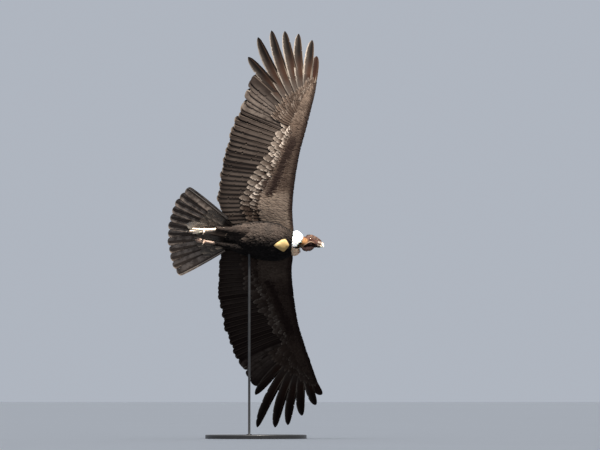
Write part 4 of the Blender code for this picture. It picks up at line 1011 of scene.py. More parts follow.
def small_wing_feathers(side, label):
    """Rows of small feathers over the arm and hand, below and above."""
    for lower in (True, False):
        sheet = wing_sheet(side, lower)
        draw = np.random.default_rng(300 + side + 10 * lower)
        coat = Coat()
        bands = [(0.004, 0.060, 0.0095, 0.0125, 0.026, 0.015), (0.060, 0.300, 0.0120, 0.0150, 0.038, 0.021)]
        for near, far, step_a, step_b, long, wide in bands:
            a, b = scattered(draw, (near, far), (0.07, 1.165), step_a, step_b)
            lead = LEAD[side](b)
            chord = lead - TRAIL[side](b)
            tips = covert_tips(b, UNDER_MEDIAN_TIPS)
            limit = np.where(b < 0.80, (tips - 0.09) * chord, np.interp(b, [0.8, 0.95, 1.08, 1.17],
                                                                      [0.15, 0.115, 0.085, 0.05]))
            if not lower:
                limit = limit * 0.92
            length = np.full(len(a), long)
            soft = np.clip((0.40 - b) / 0.1, 0, 1) * (1.0 if lower else 0.3)
            length = length * (1 + 0.9 * soft * np.clip(a / 0.1, 0, 1)) * (1 - 0.30 * ease(0.85, 1.17, b))
            keep = (a + length * 0.72 < limit) & (b < 1.16)
            roots = sheet.at(a, b, np.zeros(len(a)))
            keep &= ~inside_torso(roots, -0.012)
            a, b, length = a[keep], b[keep], length[keep]
            soft, chord = soft[keep], chord[keep]
            n = len(a)
            c = a / chord
            middle = np.interp(b, [0.346, 0.707], [0.250, 0.105])
            streak = ease(0.060, 0.030, np.abs(c - middle)) * ease(0.29, 0.34, b) * (1 - ease(0.72, 0.79, b))
            ripple = ease(0.22, 0.28, c) * (1 - soft)
            tone = draw.uniform(0, 1, n)
            if lower:
                pale = np.clip(0.30 * ripple * draw.uniform(0.3, 1.0, n), 0, 1)
                shade = (0.46 + 0.48 * soft + 0.22 * ease(0.80, 0.92, b)) * (1 - 0.95 * streak)
                # Painted shade: the lining is darkened towards the leading edge, where the surface turns
                # away from the light
                shade = np.clip(shade * (0.20 + 0.80 * ease(0.004, 0.034, a)), 0, 1)
                tuft = ease(0.84, 0.88, b) * (1 - ease(0.97, 1.02, b)) * ease(0.14, 0.20, c)
                # Painted shade: on the left wing (side > 0) the pale ends are halved and the brown is cut to
                # 0.7
                pale = np.maximum(pale, tuft * draw.uniform(0.2, 1.0, n)) * (0.5 if side > 0 else 1.0)
                shade = shade * (0.7 if side > 0 else 1.0)
            else:
                pale = np.zeros(n)
                shade = np.full(n, 0.10)
            look = np.stack([tone, pale, shade], axis=-1)
            heading = lie(b) + draw.uniform(-0.10, 0.10, n) + (0.12 * soft if lower else 0)
            width = wide * draw.uniform(0.85, 1.15, n) * (1 + 0.25 * soft)
            lay_feathers(coat, sheet, draw, a, b, heading, length * draw.uniform(0.88, 1.12, n), width,
                         look, SMALL, BODY_PROFILE, rise=0.034, camber=0.045, loose=0.35, thick=0.0004)
        where = "under" if lower else "upper"
        coat.make(f"small_{where}_feathers_{label}", UNDER[label] if lower else UPPER)


# Torso, thighs and ruff

TORSO_SHAPE = columns(TORSO_SECTIONS)
TORSO_SQUARE = 2.15
TORSO_FRONT = 0.292
OVERLAP = 1.2
CROP = [(0.124, 0.003), (0.2175, -0.047), (0.254, 0.018), (0.2085, 0.066)]
CROP_ROUND = 0.0045


def torso_point(x, angle, grow=0.0):
    """Points round the torso at x, outside it by a depth."""
    half_width, belly, back = TORSO_SHAPE
    across = np.sign(np.cos(angle)) * np.abs(np.cos(angle)) ** (2 / TORSO_SQUARE)
    up = np.sign(np.sin(angle)) * np.abs(np.sin(angle)) ** (2 / TORSO_SQUARE)
    wide = np.maximum(half_width(x) + grow, 0.012)
    high = np.maximum(np.where(up > 0, back(x), belly(x)) + grow, 0.012)
    y = x * tan(BODY_YAW) + across * wide
    return np.stack(np.broadcast_arrays(x, y, up * high), axis=-1)


def crop_share(x, y):
    """Distance inside the edge of the bare patch on the breast, less than 0 outside it."""
    total = np.zeros(np.shape(x))
    for (ax, ay), (bx, by) in zip(CROP, CROP[1:] + CROP[:1]):
        nx, ny = -(by - ay), bx - ax
        size = (nx * nx + ny * ny) ** 0.5
        gap = ((x - ax) * nx + (y - ay) * ny) / size
        total = total + np.exp(-gap / CROP_ROUND)
    return -CROP_ROUND * np.log(total)


def torso_sheet():
    """The torso by distance back from its front and angle round it."""
    back_by = np.linspace(0.0, 0.60, 121)
    angle = np.linspace(-pi - OVERLAP, pi + OVERLAP, 150)
    x = TORSO_FRONT - back_by[:, None] + 0 * angle[None]
    points = torso_point(x, angle[None] + 0 * x, -COAT_DEPTH + 0.001)
    outward = points.copy()
    outward[..., 0] = 0
    outward[..., 1] -= x * tan(BODY_YAW)
    return Sheet(back_by, angle, points, outward, (0.0, 0.0, 1.0, 1.0))


def inside_wing(points, grow=0.0):
    """Which points lie in the flesh of a wing."""
    inside = np.zeros(points.shape[:-1], bool)
    for side in (1, -1):
        s = points[..., 1] * side
        ok = s > WING_START
        s = np.clip(s, WING_START, WING_END)
        lead = LEAD[side](s)
        length = CORE_REACH(s) * (lead - TRAIL[side](s))
        v = (lead - points[..., 0]) / length
        half = CORE_THICK(s) / 2 * flesh_half(v) + grow
        high = np.abs(points[..., 2] - wing_height(side, points[..., 0], s))
        inside |= ok & (v > 0) & (v < 1) & (high < half)
    return inside


def torso_feathers():
    """Soft feathers of the belly and back, with the crop's patch left bare."""
    sheet = torso_sheet()
    draw = np.random.default_rng(400)
    for part in ("belly", "back"):
        coat = Coat()
        a, b = scattered(draw, (0.004, 0.528), (-pi, pi), 0.0092, 0.0125 / 0.105)
        belly = np.sin(b) < 0.05
        keep = belly if part == "belly" else ~belly
        x = TORSO_FRONT - a
        half_width, below, _ = TORSO_SHAPE
        girth = (half_width(x) + below(x)) / 2
        keep &= draw.uniform(0, 1, len(a)) < np.clip(girth / 0.105, 0.35, 1.25)
        roots = torso_point(x, b)
        ends = torso_point(x - 0.030, b)
        keep &= ~inside_wing(roots, -0.004)
        bare = crop_share(roots[:, 0], roots[:, 1])
        bare_end = crop_share(ends[:, 0], ends[:, 1])
        keep &= (roots[:, 2] > 0) | ((bare < -0.001) & (bare_end < 0.003))
        a, b, x = a[keep], b[keep], x[keep]
        n = len(a)
        under = np.clip(-np.sin(b), 0, 1)
        length = (0.034 + 0.022 * ease(0.04, 0.25, a)) * draw.uniform(0.75, 1.3, n)
        length *= np.where(a < 0.06, 0.7, 1.0)
        width = length * draw.uniform(0.40, 0.62, n)
        flow = 0.10 * np.cos(b) * ease(0.20, 0.5, a)
        heading = draw.uniform(-0.32, 0.32, n) + flow * 0.5
        # Painted light: feathers on the right flank of the belly, the side facing the light, are made
        # browner and get faint grey ends
        right = ease(0.015, -0.075, torso_point(x, b)[:, 1]) * ease(0.0, 0.3, under)
        shade = np.clip(0.10 + 0.90 * right * draw.uniform(0.75, 1.05, n), 0, 1)
        look = np.stack([draw.uniform(0, 1, n), 0.03 * ease(0.50, 1.0, right), shade], axis=-1)
        lay_feathers(coat, sheet, draw, a, b, heading, length, width, look, SMALL, SOFT_PROFILE,
                     rise=0.070, curl=0.06, ragged=0.20, camber=0.09, bend=0.22, loose=2.2)
        coat.make(f"{part}_feathers", BODY)


def thigh_path(label):
    """The thigh's middle line and its radii."""
    hip, ankle = LEGS[label][:2]
    t = np.linspace(0, 1, 15)
    path = np.array([tuple(hip.lerp(ankle, k)) for k in t])
    swell = np.sin(pi * np.minimum(1.0, 0.30 + 0.55 * t)) ** 0.5
    radii = THIGH_RADII[0] * swell * (1 - t) + THIGH_RADII[1] * t
    return path, radii


def tube_sheet(path, radii, outer, island, beyond=0.06, flat=1.0, up=(0.0, 0.0, 1.0)):
    """The outside of a tube by distance along it and angle round it, run on past its end."""
    step = np.concatenate([[0], np.cumsum(np.linalg.norm(np.diff(path, axis=0), axis=1))])
    a = np.linspace(0, step[-1] + beyond, 60)
    end_way = (path[-1] - path[-2]) / np.linalg.norm(path[-1] - path[-2])
    line = np.stack([np.interp(a, step, path[:, k]) for k in range(3)], axis=-1)
    past = np.maximum(a - step[-1], 0)
    line = line + past[:, None] * end_way
    radius = np.interp(a, step, radii) + outer
    angle = np.linspace(-pi - OVERLAP, pi + OVERLAP, 80)
    ahead = np.gradient(line, axis=0)
    across = np.cross(ahead, np.array(up))
    across /= np.linalg.norm(across, axis=1, keepdims=True)
    rise = np.cross(across, ahead)
    rise /= np.linalg.norm(rise, axis=1, keepdims=True)
    ring = across[:, None] * np.cos(angle)[None, :, None] + rise[:, None] * np.sin(angle)[None, :,
                                                                                          None] * flat
    points = line[:, None] + ring * radius[:, None, None]
    return Sheet(a, angle, points, ring, island), step[-1]


def thigh_feathers(label):
    """Soft feathers of one thigh."""
    path, radii = thigh_path(label)
    draw = np.random.default_rng(500 + SIDES[label])
    sheet, reach = tube_sheet(path, radii, -0.003, (0.0, 0.0, 1.0, 1.0))
    coat = Coat()
    a, b = scattered(draw, (0.002, reach + 0.002), (-pi, pi), 0.0080, 0.36)
    roots = sheet.at(a, b, np.zeros(len(a)))
    keep = ~inside_torso(roots, -0.014)
    a, b = a[keep], b[keep]
    n = len(a)
    length = 0.034 * draw.uniform(0.8, 1.25, n)
    # Painted light and shade: the right thigh, on the side facing the light, is browner than the left
    shade = draw.uniform(0.5, 0.9, n) if label == "R" else draw.uniform(0.1, 0.4, n)
    look = np.stack([draw.uniform(0, 1, n), np.zeros(n), shade], axis=-1)
    lay_feathers(coat, sheet, draw, a, b, draw.uniform(-0.2, 0.2, n), length, length * 0.48, look, SMALL,
                 SOFT_PROFILE, rise=0.06, curl=0.05, ragged=0.20, bend=0.22, loose=1.6)
    return coat.make(f"thigh_feathers_{label}", BODY)


RUFF_GAP = radians(-83.0)
RUFF_OPENING = radians(8.0)
RUFF_LENGTH = 0.085


def ruff_sheet():
    """The ruff's outer face by distance along a lock, from its foot forward, and angle round the neck."""
    a = np.linspace(0.0, RUFF_LENGTH, 40)
    angle = np.linspace(RUFF_GAP - 1.0, RUFF_GAP + 2 * pi + 1.0, 120)
    t = a / RUFF_LENGTH
    x = RUFF_X - 0.046 + 0.100 * t
    lean = np.clip(0.022 - RUFF_RADIUS * np.cos(angle), 0.0, 0.10) * 0.26
    radius = RUFF_RADIUS + 0.006 + 0.022 * np.sin(pi * np.minimum(1.0, t * 1.15)) - 0.030 * t * t
    x = x[:, None] + (lean * (1 - 0.25 * t[:, None]))
    y = x * tan(BODY_YAW) + radius[:, None] * np.cos(angle)[None]
    z = radius[:, None] * 0.94 * np.sin(angle)[None] - 0.003
    points = np.stack([x, y, z], axis=-1)
    outward = points.copy()
    outward[..., 0] = 0
    return Sheet(a, angle, points, outward, (0.0, 0.0, 1.0, 1.0))


def ruff_tufts():
    """Four layers of down round the neck, tan at the end of the underside."""
    sheet = ruff_sheet()
    draw = np.random.default_rng(600)
    coat = Coat()
    start = RUFF_GAP + RUFF_OPENING / 2
    end = RUFF_GAP + 2 * pi - RUFF_OPENING / 2
    for depth in (-0.020, -0.012, -0.005, 0.0):
        a, b = scattered(draw, (0.0, 0.056), (start, end), 0.0052, 0.072, 0.5)
        out, below = RUFF_RADIUS * np.cos(b), ease(0.10, -0.25, np.sin(b))
        limit = 0.056 * (1 - below) + below * np.interp(
            out, [-0.060, -0.040, -0.012, 0.008, 0.015, 0.021, 0.035, 0.039, 0.044, 0.068],
            [0.056, 0.052, 0.030, 0.018, 0.010, 0.038, 0.040, 0.010, 0.042, 0.050])
        a, b, out, below = [values[a <= limit] for values in (a, b, out, below)]
        n = len(a)
        length = 0.024 * draw.uniform(0.7, 1.3, n)
        tan_share = below * ease(0.002, 0.018, out)
        look = np.stack([draw.uniform(0, 1, n), tan_share, ease(-0.02, 0.0, depth) + np.zeros(n)], axis=-1)
        lay_feathers(coat, sheet, draw, a, b, draw.uniform(-0.35, 0.35, n), length, 0.0072, look, TINY,
                     LOCK_PROFILE, base=depth, rise=0.05, curl=0.10, ragged=0.15, camber=0.12,
                     thick=0.0010, bend=0.25)
    return coat.make("ruff_down", DOWN)


# Tail

TAIL_COVERTS = 13
# Tiers of coverts: reach, level and width
UNDER_TAIL_TIERS = ((0.300, -0.0150, 0.050), (0.235, -0.0190, 0.044), (0.180, -0.0235, 0.038))
UPPER_TAIL_TIERS = ((0.245, 0.0150, 0.050), (0.190, 0.0195, 0.044), (0.145, 0.0240, 0.038))
# The grey coverts between the feet: reach, width, level and turn in degrees
GREY_TAIL_COVERTS = ((0.366, 0.076, -0.0250, -9.0), (0.300, 0.070, -0.0275, -8.2),
                     (0.240, 0.054, -0.0300, -9.5))


def tail_way(angle):
    """Direction in the tail's plane, by angle from its middle line."""
    turn = angle - TAIL_AXIS
    return np.array([-cos(turn), sin(turn), 0.0])


def tail_vane(coat, share, reach, width, profile, level, thick, tilt, look, draw, shaft=0.0, rows=26,
              begin=TAIL_START, notches=3, camber=0.0016, keel=0.0010, cell=None, fine=True, turn=None):
    """One vane of the tail's fan; share runs from -0.5 at its right edge to 0.5 at its left."""
    angle = share * TAIL_SPREAD if turn is None else turn
    way = tail_way(angle)
    side = tail_way(angle + pi / 2)
    root = np.array(TAIL_ROOT) + tail_way(pi / 2) * share * TAIL_BREADTH
    across = across_of(shaft, fine)
    template = Template(rows + 2 * notches, across)
    places = 1 - (1 - np.linspace(0, 1, rows)) ** 1.15
    cuts = np.sort(draw.uniform(0.62, 0.985, notches))
    u_rows = np.sort(np.concatenate([places, cuts - CUT_HALF, cuts + CUT_HALF]))
    u = u_rows[template.row]
    e = template.v
    full = profile(u)
    for cut in cuts:
        deep = draw.uniform(0.08, 0.30)
        way_side = draw.uniform() < 0.5
        mask = (np.abs(u - cut) <= 0.0061) & (u >= cut)
        edge_side = e < shaft - 0.05 if way_side else e > shaft + 0.05
        near = np.abs(e - shaft) / 0.5
        full = np.where(mask & edge_side & (near > 0.55), full * (1 - deep * near), full)
    distance = begin + (reach - begin) * u
    offset = (e + 0.06) * width * full
    v = np.where(e < shaft, (e - shaft) / (BACK_VANE + shaft), (e - shaft) / (FRONT_VANE - shaft))
    z = level - TAIL_DROP * (distance / TAIL_LENGTH) ** 2 + tilt * offset - camber * v ** 2
    peak = np.abs(e - shaft) < 0.005
    depth = thick / 2 * (1 - 0.5 * np.abs(v)) * (1 - 0.5 * u)
    depth = depth + np.where(peak, keel * (1 - 0.8 * u), 0)
    z = z + depth * template.face
    points = root + way * distance[:, None] + side * offset[:, None]
    points[:, 2] += z
    vane = np.stack([u, v, (template.face + 1) / 2], axis=-1)[None]
    if cell is None:
        centre = np.array([[0.5 + 0.9 * share, 0.3 + 0.2 * (level > 0)]])
        spread = patch(centre, u[None], (e / 0.5)[None])
    else:
        x0, y0, x1, y1 = cell
        mid = (x0 + x1) / 2
        at = (e + BACK_VANE) * (mid - x0) * 0.92 + np.where(template.face < 0, x0, mid)
        spread = np.stack([at, y0 + (y1 - y0) * 0.96 * u], axis=-1)[None]
    coat.add(template, points[None], vane, np.array(look)[None, None], spread)


def tail_feathers():
    """The tail's twelve feathers and the coverts under and over their roots."""
    draw = np.random.default_rng(700)
    coat = Coat()
    for i in range(TAIL_FEATHERS):
        share = i / (TAIL_FEATHERS - 1) - 0.5
        rank = abs(share) * 2
        level = 0.008 - 0.0126 * rank
        tilt = TAIL_TILT if share > 0 else -TAIL_TILT
        reach = TAIL_LENGTH * (1.0 - 0.050 * rank ** 3 + draw.uniform(-0.016, 0.012))
        cell = (i / TAIL_FEATHERS + 0.004, 0.02, (i + 1) / TAIL_FEATHERS - 0.004, 0.98)
        shaft = 0.30 * (1 if share > 0 else -1) if rank > 0.95 else 0.16 * share
        tail_vane(coat, share, reach, TAIL_WIDTH, BROAD_VANE, level, FLIGHT_THICK, tilt,
                  (draw.uniform(), 0.0, 0.7 if rank > 0.95 else 0.5), draw, shaft=shaft, cell=cell,
                  notches=6, rows=34, camber=0.0030)
    coat.make("tail_feathers", FLIGHT["R"])
    coat = Coat()
    for reach, level, width in UNDER_TAIL_TIERS:
        for i in range(TAIL_COVERTS):
            share = (i + 0.5) / TAIL_COVERTS - 0.5
            tail_vane(coat, share * 0.95,
                      reach * (1 - 0.30 * abs(share) * 2 ** 0.5) + draw.uniform(-0.012, 0.012),
                      width, COVERT_VANE, level - 0.0016 * (i % 2), COVERT_THICK, 0.0,
                      (draw.uniform(), 0.25, 0.8), draw, rows=12, notches=1, begin=0.03, fine=False,
                      keel=0.0004)
    for k, (reach, width, level, turn) in enumerate(GREY_TAIL_COVERTS):
        tail_vane(coat, 0.0, reach, width, COVERT_VANE, level, COVERT_THICK, 0.0, (0.8, 1.0 - 0.45 * k, 0.6),
                  draw, rows=14, notches=0, begin=0.03, fine=False, keel=0.0004, turn=radians(turn))
    coat.make("under_tail_coverts", BODY)
    coat = Coat()
    for reach, level, width in UPPER_TAIL_TIERS:
        for i in range(TAIL_COVERTS):
            share = (i + 0.5) / TAIL_COVERTS - 0.5
            tail_vane(coat, share * 0.95,
                      reach * (1 - 0.30 * abs(share) * 2 ** 0.5) + draw.uniform(-0.012, 0.012),
                      width, COVERT_VANE, level + 0.0016 * (i % 2), COVERT_THICK, 0.0,
                      (draw.uniform(), 0.0, 0.1), draw, rows=12, notches=1, begin=0.03, fine=False,
                      keel=0.0004)
    coat.make("upper_tail_coverts", BODY)


# Materials

class Look:
    """A procedural material, built node by node."""

    def __init__(self, name, roughness, sheen=0.0, specular=0.4, coat=0.0, subsurface=0.0):
        self.material = bpy.data.materials.new(name)
        self.material.use_nodes = True
        self.tree = self.material.node_tree
        self.shader = self.tree.nodes["Principled BSDF"]
        self.shader.inputs["Roughness"].default_value = roughness
        self.shader.inputs["Specular IOR Level"].default_value = specular
        if sheen:
            self.shader.inputs["Sheen Weight"].default_value = sheen
            self.shader.inputs["Sheen Roughness"].default_value = 0.45
        if coat:
            self.shader.inputs["Coat Weight"].default_value = coat
            self.shader.inputs["Coat Roughness"].default_value = 0.15
        if subsurface:
            self.shader.inputs["Subsurface Weight"].default_value = subsurface
            self.shader.inputs["Subsurface Scale"].default_value = 0.004
            self.shader.inputs["Subsurface Radius"].default_value = (1.0, 0.35, 0.2)

    def node(self, kind):
        return self.tree.nodes.new(kind)

    def link(self, value, socket):
        if isinstance(value, bpy.types.NodeSocket):
            self.tree.links.new(value, socket)
        elif isinstance(value, (tuple, list)):
            socket.default_value = (*value,
                                    1.0) if len(value) == 3 and len(socket.default_value) == 4 else value
        else:
            socket.default_value = value

    def math(self, operation, a, b=0.0, clamp=False):
        made = self.node("ShaderNodeMath")
        made.operation = operation
        made.use_clamp = clamp
        self.link(a, made.inputs[0])
        self.link(b, made.inputs[1])
        return made.outputs[0]

    def mix(self, share, a, b, blend="MIX"):
        made = self.node("ShaderNodeMix")
        made.data_type = "RGBA"
        made.blend_type = blend
        self.link(share, made.inputs[0])
        self.link(a, made.inputs[6])
        self.link(b, made.inputs[7])
        return made.outputs[2]

    def step(self, low, high, x, start=0.0, end=1.0):
        made = self.node("ShaderNodeMapRange")
        made.interpolation_type = "SMOOTHSTEP"
        self.link(x, made.inputs["Value"])
        made.inputs["From Min"].default_value = low
        made.inputs["From Max"].default_value = high
        made.inputs["To Min"].default_value = start
        made.inputs["To Max"].default_value = end
        return made.outputs["Result"]

    def parts(self, name):
        attribute = self.node("ShaderNodeAttribute")
        attribute.attribute_name = name
        split = self.node("ShaderNodeSeparateXYZ")
        self.tree.links.new(attribute.outputs["Vector"], split.inputs[0])
        return split.outputs

    def place(self):
        return self.node("ShaderNodeTexCoord").outputs["Object"]

    def vector(self, x, y, z):
        made = self.node("ShaderNodeCombineXYZ")
        for value, socket in zip((x, y, z), made.inputs):
            self.link(value, socket)
        return made.outputs[0]

    def noise(self, scale, where=None, detail=3.0, rough=0.55, stretch=None):
        made = self.node("ShaderNodeTexNoise")
        made.inputs["Scale"].default_value = scale
        made.inputs["Detail"].default_value = detail
        made.inputs["Roughness"].default_value = rough
        where = self.place() if where is None else where
        if stretch is not None:
            turn = self.node("ShaderNodeMapping")
            turn.inputs["Scale"].default_value = stretch
            self.link(where, turn.inputs["Vector"])
            where = turn.outputs[0]
        self.link(where, made.inputs["Vector"])
        return made.outputs["Fac"]

    def grains(self, scale, where=None, feature="F1"):
        made = self.node("ShaderNodeTexVoronoi")
        made.feature = feature
        made.inputs["Scale"].default_value = scale
        self.link(self.place() if where is None else where, made.inputs["Vector"])
        return made.outputs["Distance"]

    def finish(self, colour, height=None, strength=0.3, distance=0.001, rough=None):
        self.link(colour, self.shader.inputs["Base Color"])
        if rough is not None:
            self.link(rough, self.shader.inputs["Roughness"])
        if height is not None:
            bump = self.node("ShaderNodeBump")
            bump.inputs["Strength"].default_value = strength
            bump.inputs["Distance"].default_value = distance
            self.link(height, bump.inputs["Height"])
            self.link(bump.outputs[0], self.shader.inputs["Normal"])
        return self.material


def barbs(look, u, v, tone, rate=90.0):
    """Fine lines that run from the shaft out and towards the tip."""
    reach = look.math("ABSOLUTE", v)
    run = look.math("SUBTRACT", look.math("MULTIPLY", u, rate), look.math("MULTIPLY", reach, rate * 0.10))
    where = look.vector(run, look.math("MULTIPLY", reach, 1.3), look.math("MULTIPLY", tone, 57.0))
    return look.noise(1.0, where, detail=2.0)


def flight_material(name, painted_shade_share):
    """Secondaries, primaries and tail: brown-grey below, black with silver panels above."""
    look = Look(name, 0.88, specular=0.02)
    u, v, side = look.parts("vane")
    tone, kind, place = look.parts("look")
    line = barbs(look, u, v, tone)
    finger = look.step(0.95, 1.30, place)
    dark = look.mix(tone, (0.011, 0.008, 0.007), (0.024, 0.018, 0.015))
    strip = look.mix(line, (0.026, 0.0205, 0.0175), (0.064, 0.050, 0.042))
    silver_edge = look.mix(line, (0.028, 0.0220, 0.0190), (0.098, 0.0800, 0.0695))
    light = look.mix(look.step(1.0, 1.22, place, 0.10, 0.8), strip, silver_edge)
    back_edge = look.math("MULTIPLY", v, -1.0)
    moved = look.math("ADD", back_edge, look.step(0.0, 1.0, tone, -0.30, 0.25))
    mid = look.math("MULTIPLY", look.step(0.10, 0.45, moved), look.step(1.0, 0.80, back_edge))
    rim = look.step(0.42, 0.85, back_edge)
    amount = look.math("ADD", look.math("MULTIPLY", mid, look.math("SUBTRACT", 1.0, finger)),
                       look.math("MULTIPLY", rim, finger))
    patchy = look.noise(9.0, detail=4.0)
    amount = look.math("MULTIPLY", amount, look.step(0.30, 0.70, patchy, 0.40, 1.0))
    amount = look.math("MULTIPLY", amount, look.step(0.97, 0.80, u, 0.15, 1.0))
    amount = look.math("MULTIPLY", amount, look.step(0.0, 0.8, tone, 0.42, 1.20))
    both = look.math("ABSOLUTE", v)
    # Pale strips either side of the tail feathers' shafts: partly the vanes' own lighter brown-grey, partly
    # painted highlight on their lit ridges
    ridge = look.math("MULTIPLY", look.step(0.12, 0.45, both), look.step(1.0, 0.85, both))
    ridge = look.math("MULTIPLY", ridge, look.step(0.35, 0.62, look.noise(22.0, detail=4.0), 0.25, 1.0))
    tail = look.math("MULTIPLY", look.step(0.5, 0.0, kind), look.math("SUBTRACT", 1.0, finger))
    light = look.mix(tail, light, look.mix(line, (0.110, 0.087, 0.073), (0.320, 0.262, 0.222)))
    dark = look.mix(tail, dark, look.mix(tone, (0.025, 0.0180, 0.0150), (0.052, 0.0385, 0.0320)))
    amount = look.mix(tail, amount, ridge)
    under = look.mix(amount, dark, light)
    slotted = look.step(1.27, 1.32, place)
    core = look.mix(look.step(0.42, 0.78, u), (0.030, 0.0155, 0.0105), (0.0045, 0.0036, 0.0033))
    vane_grey = look.mix(line, (0.020, 0.0165, 0.0142), (0.066, 0.055, 0.047))
    grey_share = look.math("MULTIPLY", look.step(0.30, 0.90, back_edge),
                           look.step(0.30, 0.70, patchy, 0.45, 1.0))
    long_vane = look.mix(grey_share, core, vane_grey)
    wave = look.math("MULTIPLY", look.math("SUBTRACT", look.noise(60.0, detail=3.0), 0.5), 0.22)
    white_rim = look.step(0.80, 0.94, look.math("ADD", back_edge, wave))
    white_rim = look.math("MULTIPLY", white_rim, look.step(1.25, 1.60, place, 0.35, 0.95))
    long_vane = look.mix(white_rim, long_vane, (0.205, 0.175, 0.150))
    long_vane = look.mix(look.step(0.10, 0.22, v), long_vane, (0.0075, 0.0052, 0.0042))
    pale_lead = look.math("MULTIPLY", look.step(0.50, 0.85, v), look.step(1.50, 1.65, place))
    long_vane = look.mix(pale_lead, long_vane, (0.125, 0.107, 0.092))
    under = look.mix(slotted, under, long_vane)
    base = look.math("MULTIPLY", look.step(0.44, 0.26, u), finger)
    under = look.mix(look.math("MULTIPLY", base, 0.75), under,
                     look.mix(line, (0.034, 0.027, 0.0225), (0.075, 0.060, 0.051)))
    # Painted shade: the innermost primary, its fillers and part of the second are mixed part-way towards
    # near black
    inner = look.math("MULTIPLY", look.step(0.96, 0.995, place), look.step(1.20, 1.03, place))
    under = look.mix(look.math("MULTIPLY", inner, 0.55), under, (0.0105, 0.0080, 0.0068))
    under = look.mix(look.math("MULTIPLY", line, 0.45), under, look.mix(0.5, under, (0.006, 0.005, 0.005)))
    tip = look.math("MULTIPLY", look.step(0.965, 1.0, u), look.math("SUBTRACT", 0.75, finger, clamp=True))
    under = look.mix(tip, under, (0.19, 0.155, 0.125))
    # Painted shade: for the left wing's copy, the underside is mixed towards near black by this share
    under = look.mix(painted_shade_share, under, (0.0080, 0.0042, 0.0036))
    black = look.mix(line, (0.009, 0.008, 0.008), (0.024, 0.022, 0.021))
    silver = look.mix(line, (0.40, 0.39, 0.37), (0.60, 0.59, 0.56))
    silver = look.mix(look.step(0.35, 0.75, patchy, 0.0, 0.4), silver, (0.20, 0.19, 0.18))
    outer = look.step(-0.62, -0.40, v)
    panel = look.math("MULTIPLY", look.math("MULTIPLY", outer, kind), look.step(0.90, 0.80, u))
    upper = look.mix(look.math("MULTIPLY", panel, 0.9), black, silver)
    colour = look.mix(look.step(0.4, 0.6, side), under, upper)
    reach = look.math("ABSOLUTE", v)
    shaft = look.step(0.11, 0.045, reach)
    horn = look.mix(look.step(0.25, 0.62, u), (0.30, 0.25, 0.195), (0.022, 0.013, 0.009))
    horn = look.mix(finger, (0.078, 0.060, 0.048), horn)
    horn = look.mix(tail, horn,
                    look.mix(look.step(0.55, 0.65, place), (0.060, 0.048, 0.040), (0.34, 0.285, 0.235)))
    horn = look.mix(look.step(0.4, 0.6, side), horn, (0.03, 0.025, 0.02))
    # Painted shade: the shafts of the left wing's copy are darkened too
    colour = look.mix(shaft, colour, look.mix(painted_shade_share, horn, (0.0105, 0.0062, 0.0050)))
    outermost = look.math("MULTIPLY", look.step(1.92, 1.98, place), 0.60)
    colour = look.mix(look.math("MULTIPLY", outermost, look.step(0.04, 0.10, reach, 0.10, 1.0)), colour,
                      (0.013, 0.0052, 0.0036))
    rise = look.math("ADD", line, look.math("MULTIPLY", look.noise(240.0), 0.5))
    return look.finish(colour, rise, 0.35, 0.0008)


def under_material(name, painted_shade_share):
    """Wing lining: brown, with ragged silvery ends on the longer coverts."""
    look = Look(name, 0.86, specular=0.03)
    u, v, _ = look.parts("vane")
    tone, pale, shade = look.parts("look")
    line = barbs(look, u, v, tone, 34.0)
    dark = look.mix(tone, (0.011, 0.0066, 0.0054), (0.022, 0.0140, 0.0115))
    brown = look.mix(tone, (0.060, 0.041, 0.030), (0.112, 0.079, 0.059))
    broad = look.noise(7.0, detail=3.0)
    amount = look.math("MULTIPLY", look.step(0.0, 0.8, shade), look.step(0.28, 0.72, broad, 0.50, 1.0))
    base = look.mix(amount, dark, brown)
    lining = look.mix(tone, (0.128, 0.094, 0.072), (0.205, 0.157, 0.122))
    base = look.mix(look.math("MULTIPLY", look.step(0.55, 0.90, shade),
                              look.step(0.20, 0.60, broad, 0.6, 1.0)), base, lining)
    base = look.mix(look.math("MULTIPLY", line, 0.5), base, look.mix(0.5, base, (0.012, 0.009, 0.008)))
    root = look.math("MULTIPLY", look.step(0.55, 0.15, u), 0.4)
    base = look.mix(root, base, (0.014, 0.010, 0.009))
    veil = look.math("MULTIPLY", look.step(0.52, 0.80, u, 0.0, 0.60), look.step(0.10, 0.9, pale))
    veil = look.math("MULTIPLY", veil, look.step(0.05, 0.65, tone, 0.42, 1.0))
    base = look.mix(veil, base, (0.184, 0.152, 0.126))
    ragged = look.step(0.36, 0.58, look.noise(110.0, detail=4.0))
    broad_end = look.step(1.02, 1.12, pale)
    white = look.mix(line, look.mix(broad_end, (0.17, 0.140, 0.116), (0.28, 0.230, 0.190)),
                     (0.50, 0.43, 0.37))
    wavy = look.math("MULTIPLY", look.math("SUBTRACT", look.noise(75.0, detail=3.0), 0.5), 0.26)
    end = look.step(0.885, 0.955,
                    look.math("ADD", look.math("ADD", u, look.math("MULTIPLY", broad_end, 0.11)), wavy))
    rim = look.step(0.45, 0.80, look.math("ADD", look.math("MULTIPLY", v, -1.0), wavy))
    flank = look.math("MULTIPLY", rim, look.step(0.54, 0.74, look.math("ADD", u, wavy)))
    tips = look.math("MAXIMUM", look.math("MULTIPLY", end, look.step(0.0, 1.0, ragged, 0.25, 1.0)),
                     look.math("MULTIPLY", flank, look.step(0.0, 1.0, ragged, 0.15, 0.9)))
    tips = look.math("MULTIPLY", look.math("MULTIPLY", tips, pale, clamp=True),
                     look.step(0.10, 0.75, tone, 0.30, 1.0), clamp=True)
    colour = look.mix(tips, base, white)
    edge = look.math("MULTIPLY", look.step(0.80, 0.98, u), look.step(0.0, 0.4, shade, 0.04, 0.26))
    colour = look.mix(edge, colour, (0.22, 0.175, 0.140))
    # Painted shade: for the left wing's copy, the lining is mixed towards near black by this share
    colour = look.mix(painted_shade_share, colour, (0.0080, 0.0042, 0.0036))
    rise = look.math("ADD", line, look.math("MULTIPLY", look.noise(260.0), 0.6))
    return look.finish(colour, rise, 0.35, 0.0008)


